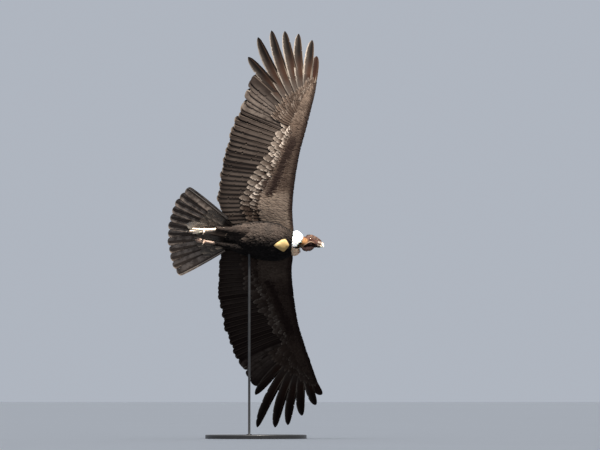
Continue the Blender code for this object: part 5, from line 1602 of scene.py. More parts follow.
def upper_material():
    """Upper side of the wing: black, with the great coverts' silvery ends."""
    look = Look("upper_covert", 0.60, specular=0.20)
    u, v, _ = look.parts("vane")
    tone, pale, _ = look.parts("look")
    line = barbs(look, u, v, tone, 34.0)
    black = look.mix(line, (0.009, 0.008, 0.008), (0.026, 0.023, 0.022))
    black = look.mix(look.math("MULTIPLY", look.step(0.80, 1.0, u), 0.45), black, (0.070, 0.058, 0.050))
    black = look.mix(look.math("MULTIPLY", tone, 0.35), black, (0.034, 0.026, 0.022))
    white = look.mix(line, (0.46, 0.45, 0.43), (0.68, 0.67, 0.64))
    panel = look.math("MULTIPLY", pale, look.step(0.45, 0.62, u))
    panel = look.math("MULTIPLY", panel, look.step(0.995, 0.96, u))
    colour = look.mix(panel, black, white)
    rise = look.math("ADD", line, look.math("MULTIPLY", look.noise(260.0), 0.6))
    return look.finish(colour, rise, 0.35, 0.0008)


def body_material():
    """Contour feathers of torso, thighs and tail's root: black-brown with paler ends."""
    look = Look("body_feather", 0.80, specular=0.05)
    u, v, _ = look.parts("vane")
    tone, pale, shade = look.parts("look")
    line = barbs(look, u, v, tone, 26.0)
    dark = look.mix(tone, (0.004, 0.0035, 0.0035), (0.009, 0.0075, 0.007))
    brown = look.mix(tone, (0.021, 0.0150, 0.0122), (0.036, 0.0262, 0.0212))
    broad = look.noise(16.0, detail=4.0)
    # The shade value also carries painted light: it is raised on the belly's right flank and on the right
    # thigh
    amount = look.math("MULTIPLY", look.step(0.08, 0.85, shade), look.step(0.30, 0.66, broad, 0.30, 1.0))
    base = look.mix(amount, dark, brown)
    base = look.mix(look.math("MULTIPLY", line, 0.5), base, look.mix(0.5, base, (0.004, 0.004, 0.004)))
    ends = look.math("MULTIPLY", look.step(0.70, 1.0, u), look.step(0.0, 1.0, shade, 0.05, 0.35))
    colour = look.mix(ends, base, (0.056, 0.042, 0.034))
    grey = look.mix(line, (0.195, 0.168, 0.143), (0.315, 0.277, 0.240))
    # Pale grey ends: the grey undertail coverts' own colour, and a faint painted light on the belly's right
    # flank
    colour = look.mix(look.math("MULTIPLY", pale, look.step(0.45, 0.75, u)), colour, grey)
    rise = look.math("ADD", line, look.math("MULTIPLY", look.noise(260.0), 0.6))
    return look.finish(colour, rise, 0.4, 0.0009)


def down_material():
    """White down of the ruff, a little soiled."""
    look = Look("ruff_down", 0.85, specular=0.15, subsurface=0.15)
    u, v, _ = look.parts("vane")
    tone, pale, _ = look.parts("look")
    line = barbs(look, u, v, tone, 20.0)
    colour = look.mix(line, (0.76, 0.74, 0.69), (0.91, 0.90, 0.87))
    dust = look.math("MULTIPLY", look.step(0.45, 0.80, look.noise(22.0, detail=3.0)), 0.25)
    colour = look.mix(dust, colour, (0.60, 0.53, 0.44))
    colour = look.mix(look.math("MULTIPLY", pale, 0.9), colour,
                      look.mix(line, (0.72, 0.43, 0.26), (0.92, 0.66, 0.44)))
    return look.finish(colour, line, 0.25, 0.0008)


# The left wing's flight and lining materials are copies darkened by painted shade
FLIGHT = {"R": flight_material("flight_feather", 0.0), "L": flight_material("flight_feather_painted_shade", 0.55)}
UNDER = {"R": under_material("under_covert", 0.0), "L": under_material("under_covert_painted_shade", 0.55)}
UPPER = upper_material()
BODY = body_material()
DOWN = down_material()


def skin_material():
    """Dark skin under the feathers, with the bare yellow patch of the crop."""
    look = Look("feathered_skin", 0.80, specular=0.06, subsurface=0.04)
    bare, warm, _ = look.parts("zone")
    broad = look.noise(14.0, detail=4.0)
    fine = look.noise(160.0, detail=3.0)
    dark = look.mix(broad, (0.006, 0.005, 0.0045), (0.016, 0.012, 0.010))
    cream = look.mix(broad, (0.42, 0.298, 0.125), (0.54, 0.412, 0.195))
    ochre = look.mix(broad, (0.36, 0.22, 0.075), (0.50, 0.325, 0.120))
    yellow = look.mix(warm, cream, ochre)
    yellow = look.mix(look.math("MULTIPLY", fine, 0.18), yellow, (0.45, 0.28, 0.12))
    colour = look.mix(look.step(0.35, 0.65, bare), dark, yellow)
    rise = look.math("ADD", fine, look.math("MULTIPLY", broad, 0.6))
    return look.finish(colour, rise, 0.25, 0.0008)


def head_material():
    """Bare skin of head and neck, mottled by region."""
    look = Look("bare_skin", 0.70, specular=0.05, subsurface=0.08)
    neck, comb, throat = look.parts("zone")
    painted_edge_highlight, painted_neck_shadow, _ = look.parts("lines")
    mottle = look.noise(85.0, detail=4.0, rough=0.6)
    blotch = look.noise(40.0, detail=3.0)
    fine = look.noise(420.0, detail=2.0)
    cells = look.grains(380.0)
    face = look.mix(look.step(0.35, 0.65, blotch), (0.028, 0.012, 0.009), (0.075, 0.036, 0.027))
    face = look.mix(look.math("MULTIPLY", look.step(0.50, 0.66, mottle), 0.7), face, (0.026, 0.014, 0.012))
    crown = look.mix(look.step(0.40, 0.60, mottle), (0.012, 0.007, 0.0055), (0.078, 0.048, 0.036))
    crown = look.mix(look.math("MULTIPLY", look.step(0.50, 0.68, blotch), 0.6), crown, (0.115, 0.064, 0.044))
    orange = look.mix(look.step(0.30, 0.65, blotch), (0.105, 0.046, 0.018), (0.245, 0.128, 0.055))
    orange = look.mix(look.math("MULTIPLY", look.step(0.55, 0.72, mottle), 0.6), orange,
                      (0.080, 0.034, 0.018))
    # The throat's own dark maroon, made darker still as painted shade on the underside of the chin
    gular = look.mix(look.step(0.35, 0.65, mottle), (0.0065, 0.0030, 0.0030), (0.0170, 0.0078, 0.0078))
    colour = look.mix(comb, face, crown)
    colour = look.mix(neck, colour, orange)
    colour = look.mix(throat, colour, gular)
    # Painted shadow at the back of the neck, next to the ruff
    colour = look.mix(painted_neck_shadow, colour,
                      look.mix(look.step(0.42, 0.60, mottle), (0.014, 0.008, 0.005), (0.110, 0.066, 0.040)))
    # Painted highlight: pale tan along the jaw's lit edge and the wattle's rim
    edge = look.mix(blotch, (0.15, 0.092, 0.058), (0.28, 0.19, 0.13))
    colour = look.mix(painted_edge_highlight, colour, edge)
    lumps = look.math("ADD", mottle, look.math("MULTIPLY", fine, 0.3))
    rise = look.math("ADD", look.math("MULTIPLY", cells, -0.7), lumps)
    return look.finish(colour, rise, 0.45, 0.0012)


def leg_material():
    look = Look("leg_skin", 0.55, specular=0.40, subsurface=0.10)
    scale, painted_foot_shade, _ = look.parts("zone")
    broad = look.noise(60.0, detail=3.0)
    cells = look.grains(420.0)
    pale = look.mix(broad, (0.74, 0.58, 0.43), (0.92, 0.78, 0.62))
    dusky = look.mix(broad, (0.20, 0.130, 0.095), (0.34, 0.22, 0.16))
    # Painted shade: the dusky colour covers the left foot
    colour = look.mix(look.step(0.25, 0.75, painted_foot_shade), pale, dusky)
    groove = look.math("MULTIPLY", look.step(0.45, 0.10, scale), 0.55)
    colour = look.mix(groove, colour, (0.16, 0.105, 0.075))
    return look.finish(colour, look.math("MULTIPLY", cells, -1.0), 0.35, 0.0008)


def bill_material():
    look = Look("bill_horn", 0.50, specular=0.25, coat=0.0, subsurface=0.08)
    along_bill, _, _ = look.parts("zone")
    streak = look.noise(60.0, detail=4.0, stretch=(1.0, 6.0, 6.0))
    fine = look.noise(600.0, detail=2.0)
    ivory = look.mix(streak, (0.70, 0.61, 0.45), (0.87, 0.82, 0.70))
    dusky = look.mix(streak, (0.072, 0.045, 0.033), (0.150, 0.104, 0.077))
    colour = look.mix(look.step(0.52, 0.80, along_bill), dusky, ivory)
    return look.finish(colour, look.math("ADD", streak, look.math("MULTIPLY", fine, 0.3)), 0.12, 0.0006)


def claw_material():
    look = Look("claw_horn", 0.35, specular=0.5, coat=0.15)
    streak = look.noise(160.0, detail=3.0)
    colour = look.mix(streak, (0.022, 0.019, 0.017), (0.085, 0.070, 0.056))
    return look.finish(colour, streak, 0.15, 0.0005)


def eye_material():
    """A brown iris round a black pupil, by distance from the eye's own axis."""
    look = Look("eye", 0.06, specular=0.6, coat=0.6)
    radius, angle, _ = look.parts("zone")
    rays = look.noise(1.0,
                      look.vector(look.math("MULTIPLY", angle, 14.0), look.math("MULTIPLY", radius, 3.0),
                                  0.0))
    iris = look.mix(rays, (0.075, 0.026, 0.010), (0.210, 0.085, 0.034))
    iris = look.mix(look.step(0.50, 0.66, radius), iris, (0.03, 0.012, 0.008))
    colour = look.mix(look.step(0.20, 0.25, radius), (0.002, 0.002, 0.002), iris)
    colour = look.mix(look.step(0.70, 0.78, radius), colour, (0.16, 0.11, 0.10))
    return look.finish(colour)


def wood_material():
    look = Look("black_painted_wood", 0.42, specular=0.4, coat=0.1)
    grain = look.noise(9.0, detail=5.0, stretch=(1.0, 9.0, 9.0))
    fine = look.noise(300.0, detail=2.0)
    colour = look.mix(grain, (0.013, 0.013, 0.014), (0.030, 0.029, 0.029))
    rough = look.step(0.2, 0.8, grain, 0.36, 0.52)
    return look.finish(colour, look.math("ADD", grain, look.math("MULTIPLY", fine, 0.15)), 0.12, 0.0006,
                       rough)


def steel_material():
    look = Look("black_painted_steel", 0.38, specular=0.45)
    fine = look.noise(500.0, detail=2.0)
    broad = look.noise(20.0, detail=3.0)
    colour = look.mix(broad, (0.014, 0.014, 0.015), (0.026, 0.026, 0.027))
    return look.finish(colour, fine, 0.10, 0.0004, look.step(0.2, 0.8, broad, 0.33, 0.46))


def floor_material():
    look = Look("pale_floor", 0.85, specular=0.15)
    broad = look.noise(0.35, detail=3.0)
    colour = look.mix(broad, (0.84, 0.84, 0.835), (0.88, 0.88, 0.875))
    return look.finish(colour)


# Skin of the feathered body

def body_skin():
    """Torso, wings' flesh, tail's root and thighs as one closed skin, a coat's depth inside."""
    shapes = []
    rings = []
    angle = 2 * pi * np.arange(48) / 48
    for x in np.linspace(-0.235, 0.288, 40):
        ring = torso_point(np.full(48, x), angle, -COAT_DEPTH)
        swell = ease(-0.006, 0.012, crop_share(ring[:, 0], ring[:, 1])) * (ring[:, 2] < 0)
        centre = np.array([x, x * tan(BODY_YAW), 0.0])
        way = (ring - centre) / np.linalg.norm(ring - centre, axis=1, keepdims=True)
        ring = ring + way * swell[:, None] * (COAT_DEPTH + 0.006)
        rings.append(ring)
    shapes.append(loft(rings))
    for side in (1, -1):
        rings = []
        for s in np.linspace(0.05, 1.15, 60):
            steps = np.array([0.0, 0.01, 0.04, 0.09, 0.18, 0.30, 0.46, 0.64, 0.82, 1.0])
            lead = float(LEAD[side](s))
            length = float(CORE_REACH(s)) * (lead - float(TRAIL[side](s)))
            inset = 0.003
            x = lead - inset - steps * (length - 2 * inset)
            half = np.maximum(CORE_THICK(s) / 2 * flesh_half(steps) - inset, 0.0022)
            middle = wing_height(side, x, s)
            upper = np.stack([x, np.full(len(x), side * s), middle + half], axis=-1)
            lower = np.stack([x, np.full(len(x), side * s), middle - half], axis=-1)
            rings.append(np.vstack([upper[::-1], lower[1:]]))
        shapes.append(loft(rings))
    rings = []
    across, up = oval(28, 2.2)
    for distance, wide, high in TAIL_CORE[:-1]:
        middle = np.array(TAIL_ROOT) + tail_way(0.0) * distance
        middle[2] += 0.004 - TAIL_DROP * (distance / TAIL_LENGTH) ** 2
        ring = middle + tail_way(pi / 2) * across[:, None] * (wide - 0.004)
        ring[:, 2] += up * max(high - 0.003, 0.003)
        rings.append(ring)
    shapes.append(loft(rings))
    for label in ("L", "R"):
        path, radii = thigh_path(label)
        shapes.append(tube(path, np.maximum(radii - 0.004, 0.010), 24))
    skin = fused("skin", shapes, BODY_VOXEL, 2)
    points = points_of(skin)
    bare = ease(-0.004, 0.006, crop_share(points[:, 0], points[:, 1])) * (points[:, 2] < -0.02)
    warm = ease(-0.03, 0.06, points[:, 1]) * 0.8
    set_vector(skin.data, "zone", np.stack([bare, warm, 0 * bare], axis=-1))
    skin.data.materials.append(skin_material())
    return skin


# Head and neck

HEAD_FRAME = Matrix.Translation(HEAD_CENTRE) @ Matrix.Rotation(HEAD_ROLL, 4,
                                                               "X") @ Matrix.Rotation(HEAD_PITCH, 4, "Y")
HEAD_SHAPE = columns(HEAD_SECTIONS)


def ridge(sections, count, draw, swell, lean_by):
    """An upright fleshy fold on the midline, lobed along its free edge."""
    foot, top, half = columns(sections)
    start = min(s[0] for s in sections)
    end = max(s[0] for s in sections)
    across, up = oval(28, 2.3)
    rings = []
    phase = draw.uniform(0, 2 * pi, 4)
    for i, x in enumerate(np.linspace(start, end, count)):
        t = i / (count - 1)
        wave = sin(2 * pi * 3.3 * t + phase[0]) * 0.6 + sin(2 * pi * 7.1 * t + phase[1]) * 0.4
        lean = lean_by * (sin(2 * pi * 1.6 * t + phase[2]) * 0.6 + sin(2 * pi * 4.3 * t + phase[3]) * 0.4)
        share = (up + 1) / 2
        low, high = float(foot(x)), float(top(x))
        z = low + (high * (1 + 0.02 * wave) - low) * share
        y = across * float(half(x)) * (1 + swell * wave) + lean * share
        rings.append(np.stack([np.full(28, x), y, z], axis=-1))
    return loft(rings)


def head_skin():
    """Skull, cere, comb, wattle, lids, folds and neck as one finely wrinkled skin."""
    draw = np.random.default_rng(900)
    half_width, above, below = HEAD_SHAPE
    shapes = []
    rings = []
    across, up = oval(44, 2.2)
    for x in np.linspace(-0.052, 0.068, 44):
        high = np.where(up > 0, above(x), below(x))
        rings.append(np.stack([np.full(44, x), across * float(half_width(x)), up * high], axis=-1))
    shapes.append(loft(rings))
    shapes.append(ridge(COMB_SECTIONS, 60, draw, 0.10, 0.0018))
    shapes.append(ridge(WATTLE_SECTIONS, 50, draw, 0.16, 0.0040))
    top = columns(COMB_SECTIONS)[1]
    for x in np.linspace(0.084, -0.032, 11):
        size = 0.0058 * draw.uniform(0.8, 1.2)
        centre = (x, draw.uniform(-0.5, 0.5) * 0.006, float(top(x)) - size * draw.uniform(0.85, 1.05))
        shapes.append(ball(centre, (size * 1.1, size * 1.3, size)))
    for i in range(16):
        x = draw.uniform(-0.02, 0.075)
        side = draw.choice([-1, 1])
        z = draw.uniform(0.34, 0.85) * (float(top(x)) - 0.03) + 0.03
        size = 0.0040 * draw.uniform(0.7, 1.3)
        shapes.append(ball((x, side * 0.0075, z), (size * 1.3, size * 0.9, size)))
    for side in (-1, 1):
        for i in range(5):
            back = -0.014 - 0.0075 * i
            path = []
            for t in np.linspace(0, 1, 16):
                x = back - 0.012 * sin(pi * t) + 0.002 * sin(9 * t + i)
                angle = radians(48 - 115 * t)
                high = float(above(x)) if angle > 0 else float(below(x))
                path.append((x, side * float(half_width(x)) * cos(angle) * 0.97, high * sin(angle) * 0.97))
            bulk = 0.0024 + 0.0012 * np.sin(pi * np.linspace(0, 1, 16)) * draw.uniform(0.6, 1.2)
            shapes.append(tube(path, bulk, 10, up=(1, 0, 0.2)))
        path = [(0.052 - 0.030 * t, side * (0.0195 + 0.0135 * t ** 0.8), -0.0085 - 0.002 * sin(pi * t))
                for t in np.linspace(0, 1, 10)]
        shapes.append(tube(path, np.linspace(0.0016, 0.0030, 10), 10))
        path = [(0.055 - 0.030 * t, side * (0.0190 + 0.0130 * t ** 0.8), -0.0125 - 0.003 * sin(pi * t))
                for t in np.linspace(0, 1, 10)]
        shapes.append(tube(path, np.linspace(0.0015, 0.0026, 10), 10))
        eye = np.array([EYE_PLACE[0], side * EYE_PLACE[1], EYE_PLACE[2]])
        out = np.array([0.25, side, 0.12])
        out /= np.linalg.norm(out)
        shapes.append(torus(eye + out * 0.0060, out, 0.0088, 0.0024, tall=0.86))
        shapes.append(torus(eye + out * 0.0035, out, 0.0120, 0.0020, tall=0.92))
        brow = [(eye[0] + 0.017 * cos(a), eye[1] + side * (0.0035 - 0.004 * abs(cos(a))),
                 eye[2] + 0.0125 * sin(a))
                for a in np.linspace(radians(15), radians(165), 14)]
        shapes.append(tube(brow, 0.0016 + 0.0016 * np.sin(np.linspace(0, pi, 14)), 10, up=(0, 1, 0)))
        ear = np.array([EAR_PLACE[0], side * (EAR_PLACE[1] - 0.0005), EAR_PLACE[2]])
        shapes.append(torus(ear, (0, side, 0), 0.0056, 0.0019, tall=1.15))
    shapes = [(moved(p, HEAD_FRAME), f) for p, f in shapes]
    shapes.append(neck_shape())
    head = fused("head", shapes, HEAD_VOXEL, 2)
    cutters = []
    for side in (-1, 1):
        eye = (EYE_PLACE[0], side * EYE_PLACE[1], EYE_PLACE[2])
        cutters.append(ball(eye, [EYE_RADIUS + 0.0002] * 3, 24, 36))
        cutters.append(ball((EAR_PLACE[0], side * EAR_PLACE[1], EAR_PLACE[2]), (0.0040, 0.0075, 0.0046), 12,
                            20))
    cutters.append(ball(NOSTRIL_PLACE, (0.0060, 0.05, 0.0030), 16, 24))
    points, faces = joined(cutters)
    cut(head, moved(points, HEAD_FRAME), faces)
    wrinkle_head(head)
    return head


def cut(thing, points, faces):
    mesh = bpy.data.meshes.new("cutter")
    mesh.from_pydata(points.tolist(), [], faces)
    tool = bpy.data.objects.new("cutter", mesh)
    bpy.context.scene.collection.objects.link(tool)
    boolean = thing.modifiers.new("cut", "BOOLEAN")
    boolean.operation = "DIFFERENCE"
    boolean.solver = "MANIFOLD"
    boolean.object = tool
    bake(thing)
    thing.data.materials.clear()
    bpy.data.objects.remove(tool, do_unlink=True)


def neck_shape():
    """The short bare neck, ringed by folds, from inside the torso to the back of the skull."""
    start = np.array([0.262, 0.262 * tan(BODY_YAW), -0.004])
    across, up = oval(44)
    rings = []
    for t in np.linspace(0, 1, 46):
        fold = 0.0020 * sin(2 * pi * 4.5 * t) + 0.0008 * sin(2 * pi * 10.0 * t + 1.0)
        low = start + np.stack([0 * across, across * (NECK_RADIUS - 0.001), up * (NECK_RADIUS - 0.001)],
                               axis=-1)
        local = np.stack([np.full(44, -0.046), across * 0.0385, up * np.where(up > 0, 0.0375, 0.0430)],
                         axis=-1)
        high = moved(local, HEAD_FRAME)
        ring = low * (1 - t) + high * t
        centre = ring.mean(axis=0)
        way = ring - centre
        way /= np.linalg.norm(way, axis=1, keepdims=True)
        rings.append(ring + way * fold * sin(pi * t) ** 0.5)
    return loft(rings)


def wrinkle_head(head):
    """Folds, grains and lobes pressed into the bare skin, with masks for its colours and for its painted
    highlights and painted shadow.
    """
    points = points_of(head)
    normals = normals_of(head)
    inverse = HEAD_FRAME.inverted()
    local = moved(points, inverse)
    x, y, z = local[:, 0], local[:, 1], local[:, 2]
    comb = ease(0.028, 0.040, z) * (1 - ease(0.010, 0.016, np.abs(y)))
    comb = np.maximum(comb, ease(0.036, 0.046, z))
    jaw = np.interp(x, [-0.070, -0.052, -0.0375, -0.0125, 0.010, 0.0175, 0.050],
                    [-0.040, -0.046, -0.050, -0.035, -0.0175, -0.0135, -0.0095])
    below = jaw - z
    throat = ease(-0.001, 0.002, below) * ease(-0.060, -0.050, x)
    high = np.interp(x, [-0.06, -0.03, 0.0, 0.02], [0.024, 0.012, 0.002, -0.006])
    neck = ease(0.004, -0.004, z - high) * (1 - ease(-0.014, 0.006, x)) * (1 - throat)
    neck = np.maximum(neck, (1 - ease(-0.062, -0.052, x)) * ease(0.034, 0.020, z)) * (1 - throat)
    # Painted highlight: a pale band along the lit edge just above the jaw line
    painted_edge_highlight = np.exp(-((below + 0.0030) / 0.0032) ** 2) * ease(-0.062, -0.050,
                                                                 x) * (1 - ease(0.036, 0.050, x))
    foot_line = columns(WATTLE_SECTIONS)[1](x)
    # Painted highlight: a pale rim of light along the wattle's bottom edge
    painted_wattle_rim = ease(0.0022, 0.0008, z - foot_line) * (x > -0.047) * (x < 0.046) * (z < -0.03)
    painted_edge_highlight = np.maximum(painted_edge_highlight, 0.45 * painted_wattle_rim)
    # Painted shadow: a dark brown band round the back of the neck, next to the ruff
    painted_neck_shadow = ease(-0.046, -0.056, x + 0.004 * np.sin(z * 300)) * 0.9
    eye = np.minimum(np.linalg.norm(local - np.array([EYE_PLACE[0], EYE_PLACE[1], EYE_PLACE[2]]), axis=1),
                     np.linalg.norm(local - np.array([EYE_PLACE[0], -EYE_PLACE[1], EYE_PLACE[2]]), axis=1))
    clear = ease(0.0098, 0.0135, eye)
    lumps = (0.55 - bubbles(local * np.array([1.0, 0.8, 1.0]), 150.0, 3)) * 0.0020 * comb
    grains = (0.5 - bubbles(local, 330.0, 5)) * 0.0007 * (1 - 0.4 * comb)
    bent = local + 0.006 * (np.stack([cloud(local, 60, 1), cloud(local, 60, 2), cloud(local, 60, 3)],
                                     axis=-1) - 0.5)
    creases = 1 - np.abs(2 * cloud(bent * np.array([1.0, 0.6, 0.45]), 260.0, 9) - 1)
    creases = (creases ** 2 - 0.4) * 0.0010
    hanging = 1 - np.abs(2 * cloud(bent * np.array([1.0, 0.5, 0.25]), 220.0, 19) - 1)
    folds = (hanging ** 2 - 0.4) * 0.0018 * throat
    shift = (lumps + grains + creases * (1 - comb) * (1 - throat) + folds) * clear
    front = ease(0.060, 0.066, x)
    shift = shift * (1 - 0.7 * front * (1 - comb))
    mouth = (x > MOUTH_CORNER - 0.002) & (np.abs(z - MOUTH_HEIGHT) < 0.0022) & (comb < 0.5)
    line = np.exp(-((z - MOUTH_HEIGHT) / 0.0009) ** 2) * ease(MOUTH_CORNER - 0.002, MOUTH_CORNER + 0.006, x)
    shift = shift - 0.0022 * line * mouth
    shift = shift + 0.0011 * np.exp(-((below + 0.001) / 0.0022) ** 2) * ease(-0.06, -0.05, x)
    set_points(head, points + normals * shift[:, None])
    set_vector(head.data, "zone", np.stack([neck, comb, throat * 0.95], axis=-1))
    set_vector(head.data, "lines", np.stack([painted_edge_highlight, painted_neck_shadow, 0 * painted_neck_shadow], axis=-1))
    head.data.materials.append(head_material())


def bill_half(name, sections, upper):
    half_width, top, bottom = columns(sections)
    start, end = sections[0][0], sections[-1][0]
    across, up = oval(40, 2.3)
    rings = []
    count = 40
    for i in range(count):
        t = i / (count - 1)
        x = start + (end - start) * (1 - (1 - t) ** 1.5)
        middle = (float(top(x)) + float(bottom(x))) / 2
        tall = max((float(top(x)) - float(bottom(x))) / 2, 0.0004)
        flat = (up < 0) if upper else (up > 0)
        height = up * tall * np.where(flat, 0.92, 1.0)
        wide = max(float(half_width(x)), 0.0004)
        rings.append(np.stack([np.full(40, x), across * wide, middle + height], axis=-1))
    points, faces = loft(rings)
    share = np.clip((points[:, 0] - start) / (end - start), 0, 1)
    thing = mesh_object(name, moved(points, HEAD_FRAME), faces, 40)
    set_vector(thing.data, "zone", np.stack([share, 0 * share, 0 * share], axis=-1))
    thing.data.materials.append(BILL)
    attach(thing, "root")
    return thing


def eye_ball(label):
    """An eye turned on its axis, its clear front domed a little more than the ball."""
    side = SIDES[label]
    profile = []
    for t in np.linspace(0.02, 0.98, 40):
        a = pi * t
        r = EYE_RADIUS - 0.0002
        dome = 0.0008 * ease(0.80, 1.0, cos(a))
        profile.append((cos(a) * r + dome, sin(a) * r, sin(a)))
    rings = []
    for depth, radius, _ in profile:
        angle = 2 * pi * np.arange(36) / 36
        rings.append(np.stack([np.full(36, depth), radius * np.cos(angle), radius * np.sin(angle)], axis=-1))
    points, faces = loft(rings)
    radial = np.hypot(points[:, 1], points[:, 2]) / EYE_RADIUS
    radial = np.where(points[:, 0] < 0, 1.0, radial)
    angle = np.arctan2(points[:, 2], points[:, 1])
    out = Vector((0.25, side, 0.12)).normalized()
    turn = np.array(Vector((1, 0, 0)).rotation_difference(out).to_matrix())
    points = points @ turn.T + np.array([EYE_PLACE[0], side * EYE_PLACE[1], EYE_PLACE[2]])
    thing = mesh_object(f"eye_{label}_fine", moved(points, HEAD_FRAME), faces, 60)
    set_vector(thing.data, "zone", np.stack([radial, np.abs(angle), 0 * angle], axis=-1))
    thing.data.materials.append(EYE)
    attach(thing, "root")
    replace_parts(thing, f"eye_{label}")
    return thing


# Feet

def foot_shapes(label):
    """Shank, palm and toes, with the places of their claws."""
    _, ankle, foot, tips = LEGS[label]
    shapes = []
    path = [tuple(ankle.lerp(foot, t)) for t in np.linspace(-0.25, 1.0, 14)]
    radii = TARSUS_RADIUS * np.interp(np.linspace(-0.25, 1, 14), [-0.25, 0, 0.25, 0.5, 0.75, 1.0],
                                      [1.15, 1.20, 0.98, 0.92, 0.98, 1.15])
    shapes.append(tube(path, radii, 20))
    ahead = (foot - ankle).normalized()
    root = foot + ahead * GAP * 2
    reach = (tips - root).length
    aim = (tips - root).normalized()
    up = Vector((0, 0, 1))
    across = aim.cross(up).normalized()
    palm_path = [tuple(root + ahead * 0.030 * t) for t in np.linspace(-0.2, 1, 10)]
    palm = np.interp(np.linspace(-0.2, 1, 10), [-0.2, 0, 0.35, 0.7, 1.0],
                     [0.0125, 0.0130, 0.0160, 0.0155, 0.0105])
    shapes.append(tube(palm_path, palm, 20, flat=0.8))
    claws = []
    for turn, length in zip(TOE_SPREADS, TOE_LENGTHS):
        heading = (aim + across * turn).normalized()
        begin = root + ahead * 0.016 + across * turn * 0.035
        toe_length = (reach - CLAW_LENGTH) * length
        path = [begin + heading * toe_length * t - up * 0.006 * sin(pi * t) for t in np.linspace(0, 1, 24)]
        t = np.linspace(0, 1, 24)
        radii = TOE_RADIUS * (np.interp(t, [0, 0.2, 0.4, 0.6, 0.8, 1.0],
                                        [1.05, 0.92, 1.02, 0.88, 0.95, 0.72]))
        radii = radii * (1 + 0.05 * np.sin(t * 2 * pi * 3.5))
        shapes.append(tube([tuple(p) for p in path], radii, 18))
        claws.append((path[-1], (path[-1] - path[-2]).normalized(), -up))
    back_way = (aim * 0.10 - up * 0.75 + across * 0.2).normalized()
    begin = root + ahead * 0.014 - up * 0.003
    path = [begin + back_way * HIND_TOE_LENGTH * t for t in np.linspace(0, 1, 10)]
    shapes.append(tube([tuple(p) for p in path], np.linspace(0.0068, 0.0053, 10), 16, up=tuple(aim)))
    claws.append((path[-1], (path[-1] - path[-2]).normalized(), aim * 0.6))
    return shapes, claws, (ankle, foot, root, aim, reach)


def foot_skin(label):
    shapes, claws, (_, _, root, aim, _) = foot_shapes(label)
    skin = fused(f"foot_skin_{label}", shapes, FOOT_VOXEL, 2)
    points = points_of(skin)
    normals = normals_of(skin)
    aim = np.array(aim)
    run = (points - np.array(root)) @ aim
    top = normals[:, 2]
    plate = np.abs(((run / 0.0052) % 1.0) - 0.5) * 2
    plates = (1 - plate ** 4)
    round_scales = np.clip(1 - bubbles(points, 260.0, 31) * 1.25, 0, 1)
    front = ease(0.0, 0.5, top)
    scale = plates * front + (1 - front) * round_scales
    set_points(skin, points + normals * ((scale - 0.5) * 0.0008)[:, None])
    painted_foot_shade = 0.0 * run
    # Painted shade: the left foot and shank are made dusky reddish brown; the right foot stays pale
    if label == "L":
        painted_foot_shade = 0.66 + 0.24 * ease(0.05, 0.11, run)
    set_vector(skin.data, "zone", np.stack([scale, painted_foot_shade, 0 * painted_foot_shade], axis=-1))
    skin.data.materials.append(LEG)
    for i, (place, ahead, bend) in enumerate(claws):
        claw(f"{label}_{i + 1}", place, ahead, bend)
    return skin


def claw(label, root, ahead, bend):
    path = []
    t_values = np.linspace(-0.10, 1.0, 18)
    for t in t_values:
        curve = max(t - 0.12, 0.0)
        path.append(tuple(root + ahead * (2 * GAP + CLAW_LENGTH * t) + bend * 0.012 * curve * curve))
    radii = CLAW_RADIUS * (1 - 0.90 * np.clip(t_values, 0, 1) ** 1.6)
    points, faces = tube(path, radii, 18, up=tuple(ahead.orthogonal()))
    thing = mesh_object(f"claw_{label}_fine", points, faces, 60)
    thing.data.materials.append(CLAW)
    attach(thing, "root")
    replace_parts(thing, f"claw_{label}")


# Stand, floor, light and camera

def world_object(name, points, faces, material, smooth=40):
    mesh = bpy.data.meshes.new(name)
    mesh.from_pydata([tuple(p) for p in points], [], faces)
    mesh.shade_smooth()
    mesh.set_sharp_from_angle(angle=radians(smooth))
    mesh.materials.append(material)
    thing = bpy.data.objects.new(name, mesh)
    bpy.context.scene.collection.objects.link(thing)
    return thing


def stand():
    edge = 0.006
    profile = [(0.0, 0.0), (BASE_RADIUS - 0.002, 0.0), (BASE_RADIUS, 0.002),
               (BASE_RADIUS, BASE_THICK - edge)]
    for t in np.linspace(0, pi / 2, 8)[1:]:
        profile.append((BASE_RADIUS - edge + edge * cos(t), BASE_THICK - edge + edge * sin(t)))
    profile.append((BASE_RADIUS * 0.5, BASE_THICK))
    profile.append((0.0, BASE_THICK))
    sides = 160
    rings = []
    for r, z in profile:
        angle = 2 * pi * np.arange(sides) / sides
        rings.append(np.stack([max(r, 1e-4) * np.cos(angle), max(r, 1e-4) * np.sin(angle),
                               np.full(sides, z)], axis=-1))
    points, faces = loft(rings)
    base = world_object("stand_plinth", points, faces, wood_material())
    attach(base, "root")
    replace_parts(base, "stand_base")
    low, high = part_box("stand_rod")
    rings = []
    angle = 2 * pi * np.arange(48) / 48
    for r, z in ((0.020, BASE_THICK), (0.020, BASE_THICK + 0.004), (0.0185, BASE_THICK + 0.0055),
                 (0.0105, BASE_THICK + 0.0055), (ROD_RADIUS, BASE_THICK + 0.008), (ROD_RADIUS, 0.4),
                 (ROD_RADIUS, 0.9), (ROD_RADIUS, high[2] + 0.010)):
        rings.append(np.stack([ROD_X + r * np.cos(angle), ROD_Y + r * np.sin(angle), np.full(48, z)],
                              axis=-1))
    points, faces = loft(rings)
    rod = world_object("stand_post", points, faces, steel_material())
    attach(rod, "root")
    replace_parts(rod, "stand_rod")


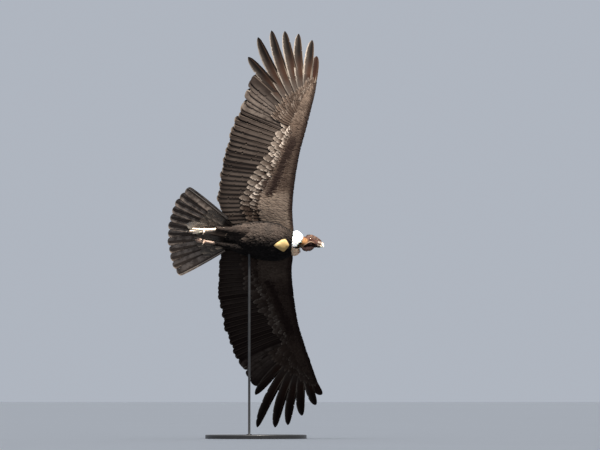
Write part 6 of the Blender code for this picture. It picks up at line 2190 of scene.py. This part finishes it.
def studio():
    """A wide pale floor, pale surroundings, one soft key light high on the camera's side, and the camera."""
    size = 420.0
    points = [(-size, -size, 0), (size, -size, 0), (size, size, 0), (-size, size, 0)]
    floor = world_object("floor", points, [(0, 1, 2, 3)], floor_material())
    world = bpy.data.worlds.new("studio")
    world.use_nodes = True
    world.node_tree.nodes["Background"].inputs["Color"].default_value = (0.43, 0.465, 0.525, 1.0)
    world.node_tree.nodes["Background"].inputs["Strength"].default_value = 1.0
    bpy.context.scene.world = world
    towards = Vector((0.12, -0.36, 0.93)).normalized()
    key = bpy.data.lights.new("key", "AREA")
    key.shape = "DISK"
    key.size = 1.2
    key.spread = radians(24)
    key.energy = KEY_POWER
    key.color = (1.0, 0.95, 0.88)
    lamp = bpy.data.objects.new("key", key)
    lamp.location = Vector((0.0, -0.05, 2.2)) + towards * 7.5
    lamp.rotation_mode = "QUATERNION"
    lamp.rotation_quaternion = towards.to_track_quat("Z", "Y")
    bpy.context.scene.collection.objects.link(lamp)
    lit = bpy.data.collections.new("lit_by_key")
    for thing in bpy.context.scene.objects:
        if thing.type == "MESH" and thing is not floor:
            lit.objects.link(thing)
    lamp.light_linking.receiver_collection = lit
    camera = bpy.data.cameras.new("camera")
    camera.lens = 320
    camera.sensor_width = 36
    camera.clip_start = 1.0
    camera.clip_end = 900.0
    eye = bpy.data.objects.new("camera", camera)
    eye.location = (0.33, -40.0, 0.30)
    tilt = atan((BIRD_HEIGHT - 0.30) / 40.0) + atan(15 / (40.0 / 0.0075))
    eye.rotation_euler = (pi / 2 + tilt, 0.0, 0.0)
    bpy.context.scene.collection.objects.link(eye)
    bpy.context.scene.camera = eye
    bpy.context.scene.view_settings.view_transform = "Standard"


LEG = leg_material()
BILL = bill_material()
CLAW = claw_material()
EYE = eye_material()


def to_world(thing):
    set_points(thing, points_of(thing) @ TURN.T + SHIFT)


def skins():
    """All bare and feathered skin as one piece."""
    body = body_skin()
    others = [head_skin(), foot_skin("L"), foot_skin("R")]
    for thing in (body, *others):
        to_world(thing)
    bpy.context.view_layer.objects.active = body
    for thing in bpy.context.view_layer.objects:
        thing.select_set(thing in (body, *others))
    bpy.ops.object.join()
    body.data.shade_smooth()
    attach(body, "root")
    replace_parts(body, "torso", "neck", "ruff", "head", "thigh_L", "thigh_R", "tarsus_L", "tarsus_R",
                "foot_L", "foot_R", "wing_arm_L", "wing_arm_R", "wing_hand_L", "wing_hand_R", "tail")
    return body


skins()
for label, side in SIDES.items():
    flight_feathers(side, label)
    long_coverts(side, label)
    small_wing_feathers(side, label)
    thigh_feathers(label)
    eye_ball(label)
torso_feathers()
ruff_tufts()
tail_feathers()
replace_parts(bill_half("bill_upper_fine", UPPER_BILL_SECTIONS, True), "bill_upper")
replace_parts(bill_half("bill_lower_fine", LOWER_BILL_SECTIONS, False), "bill_lower")
stand()
studio()

bpy.context.view_layer.update()
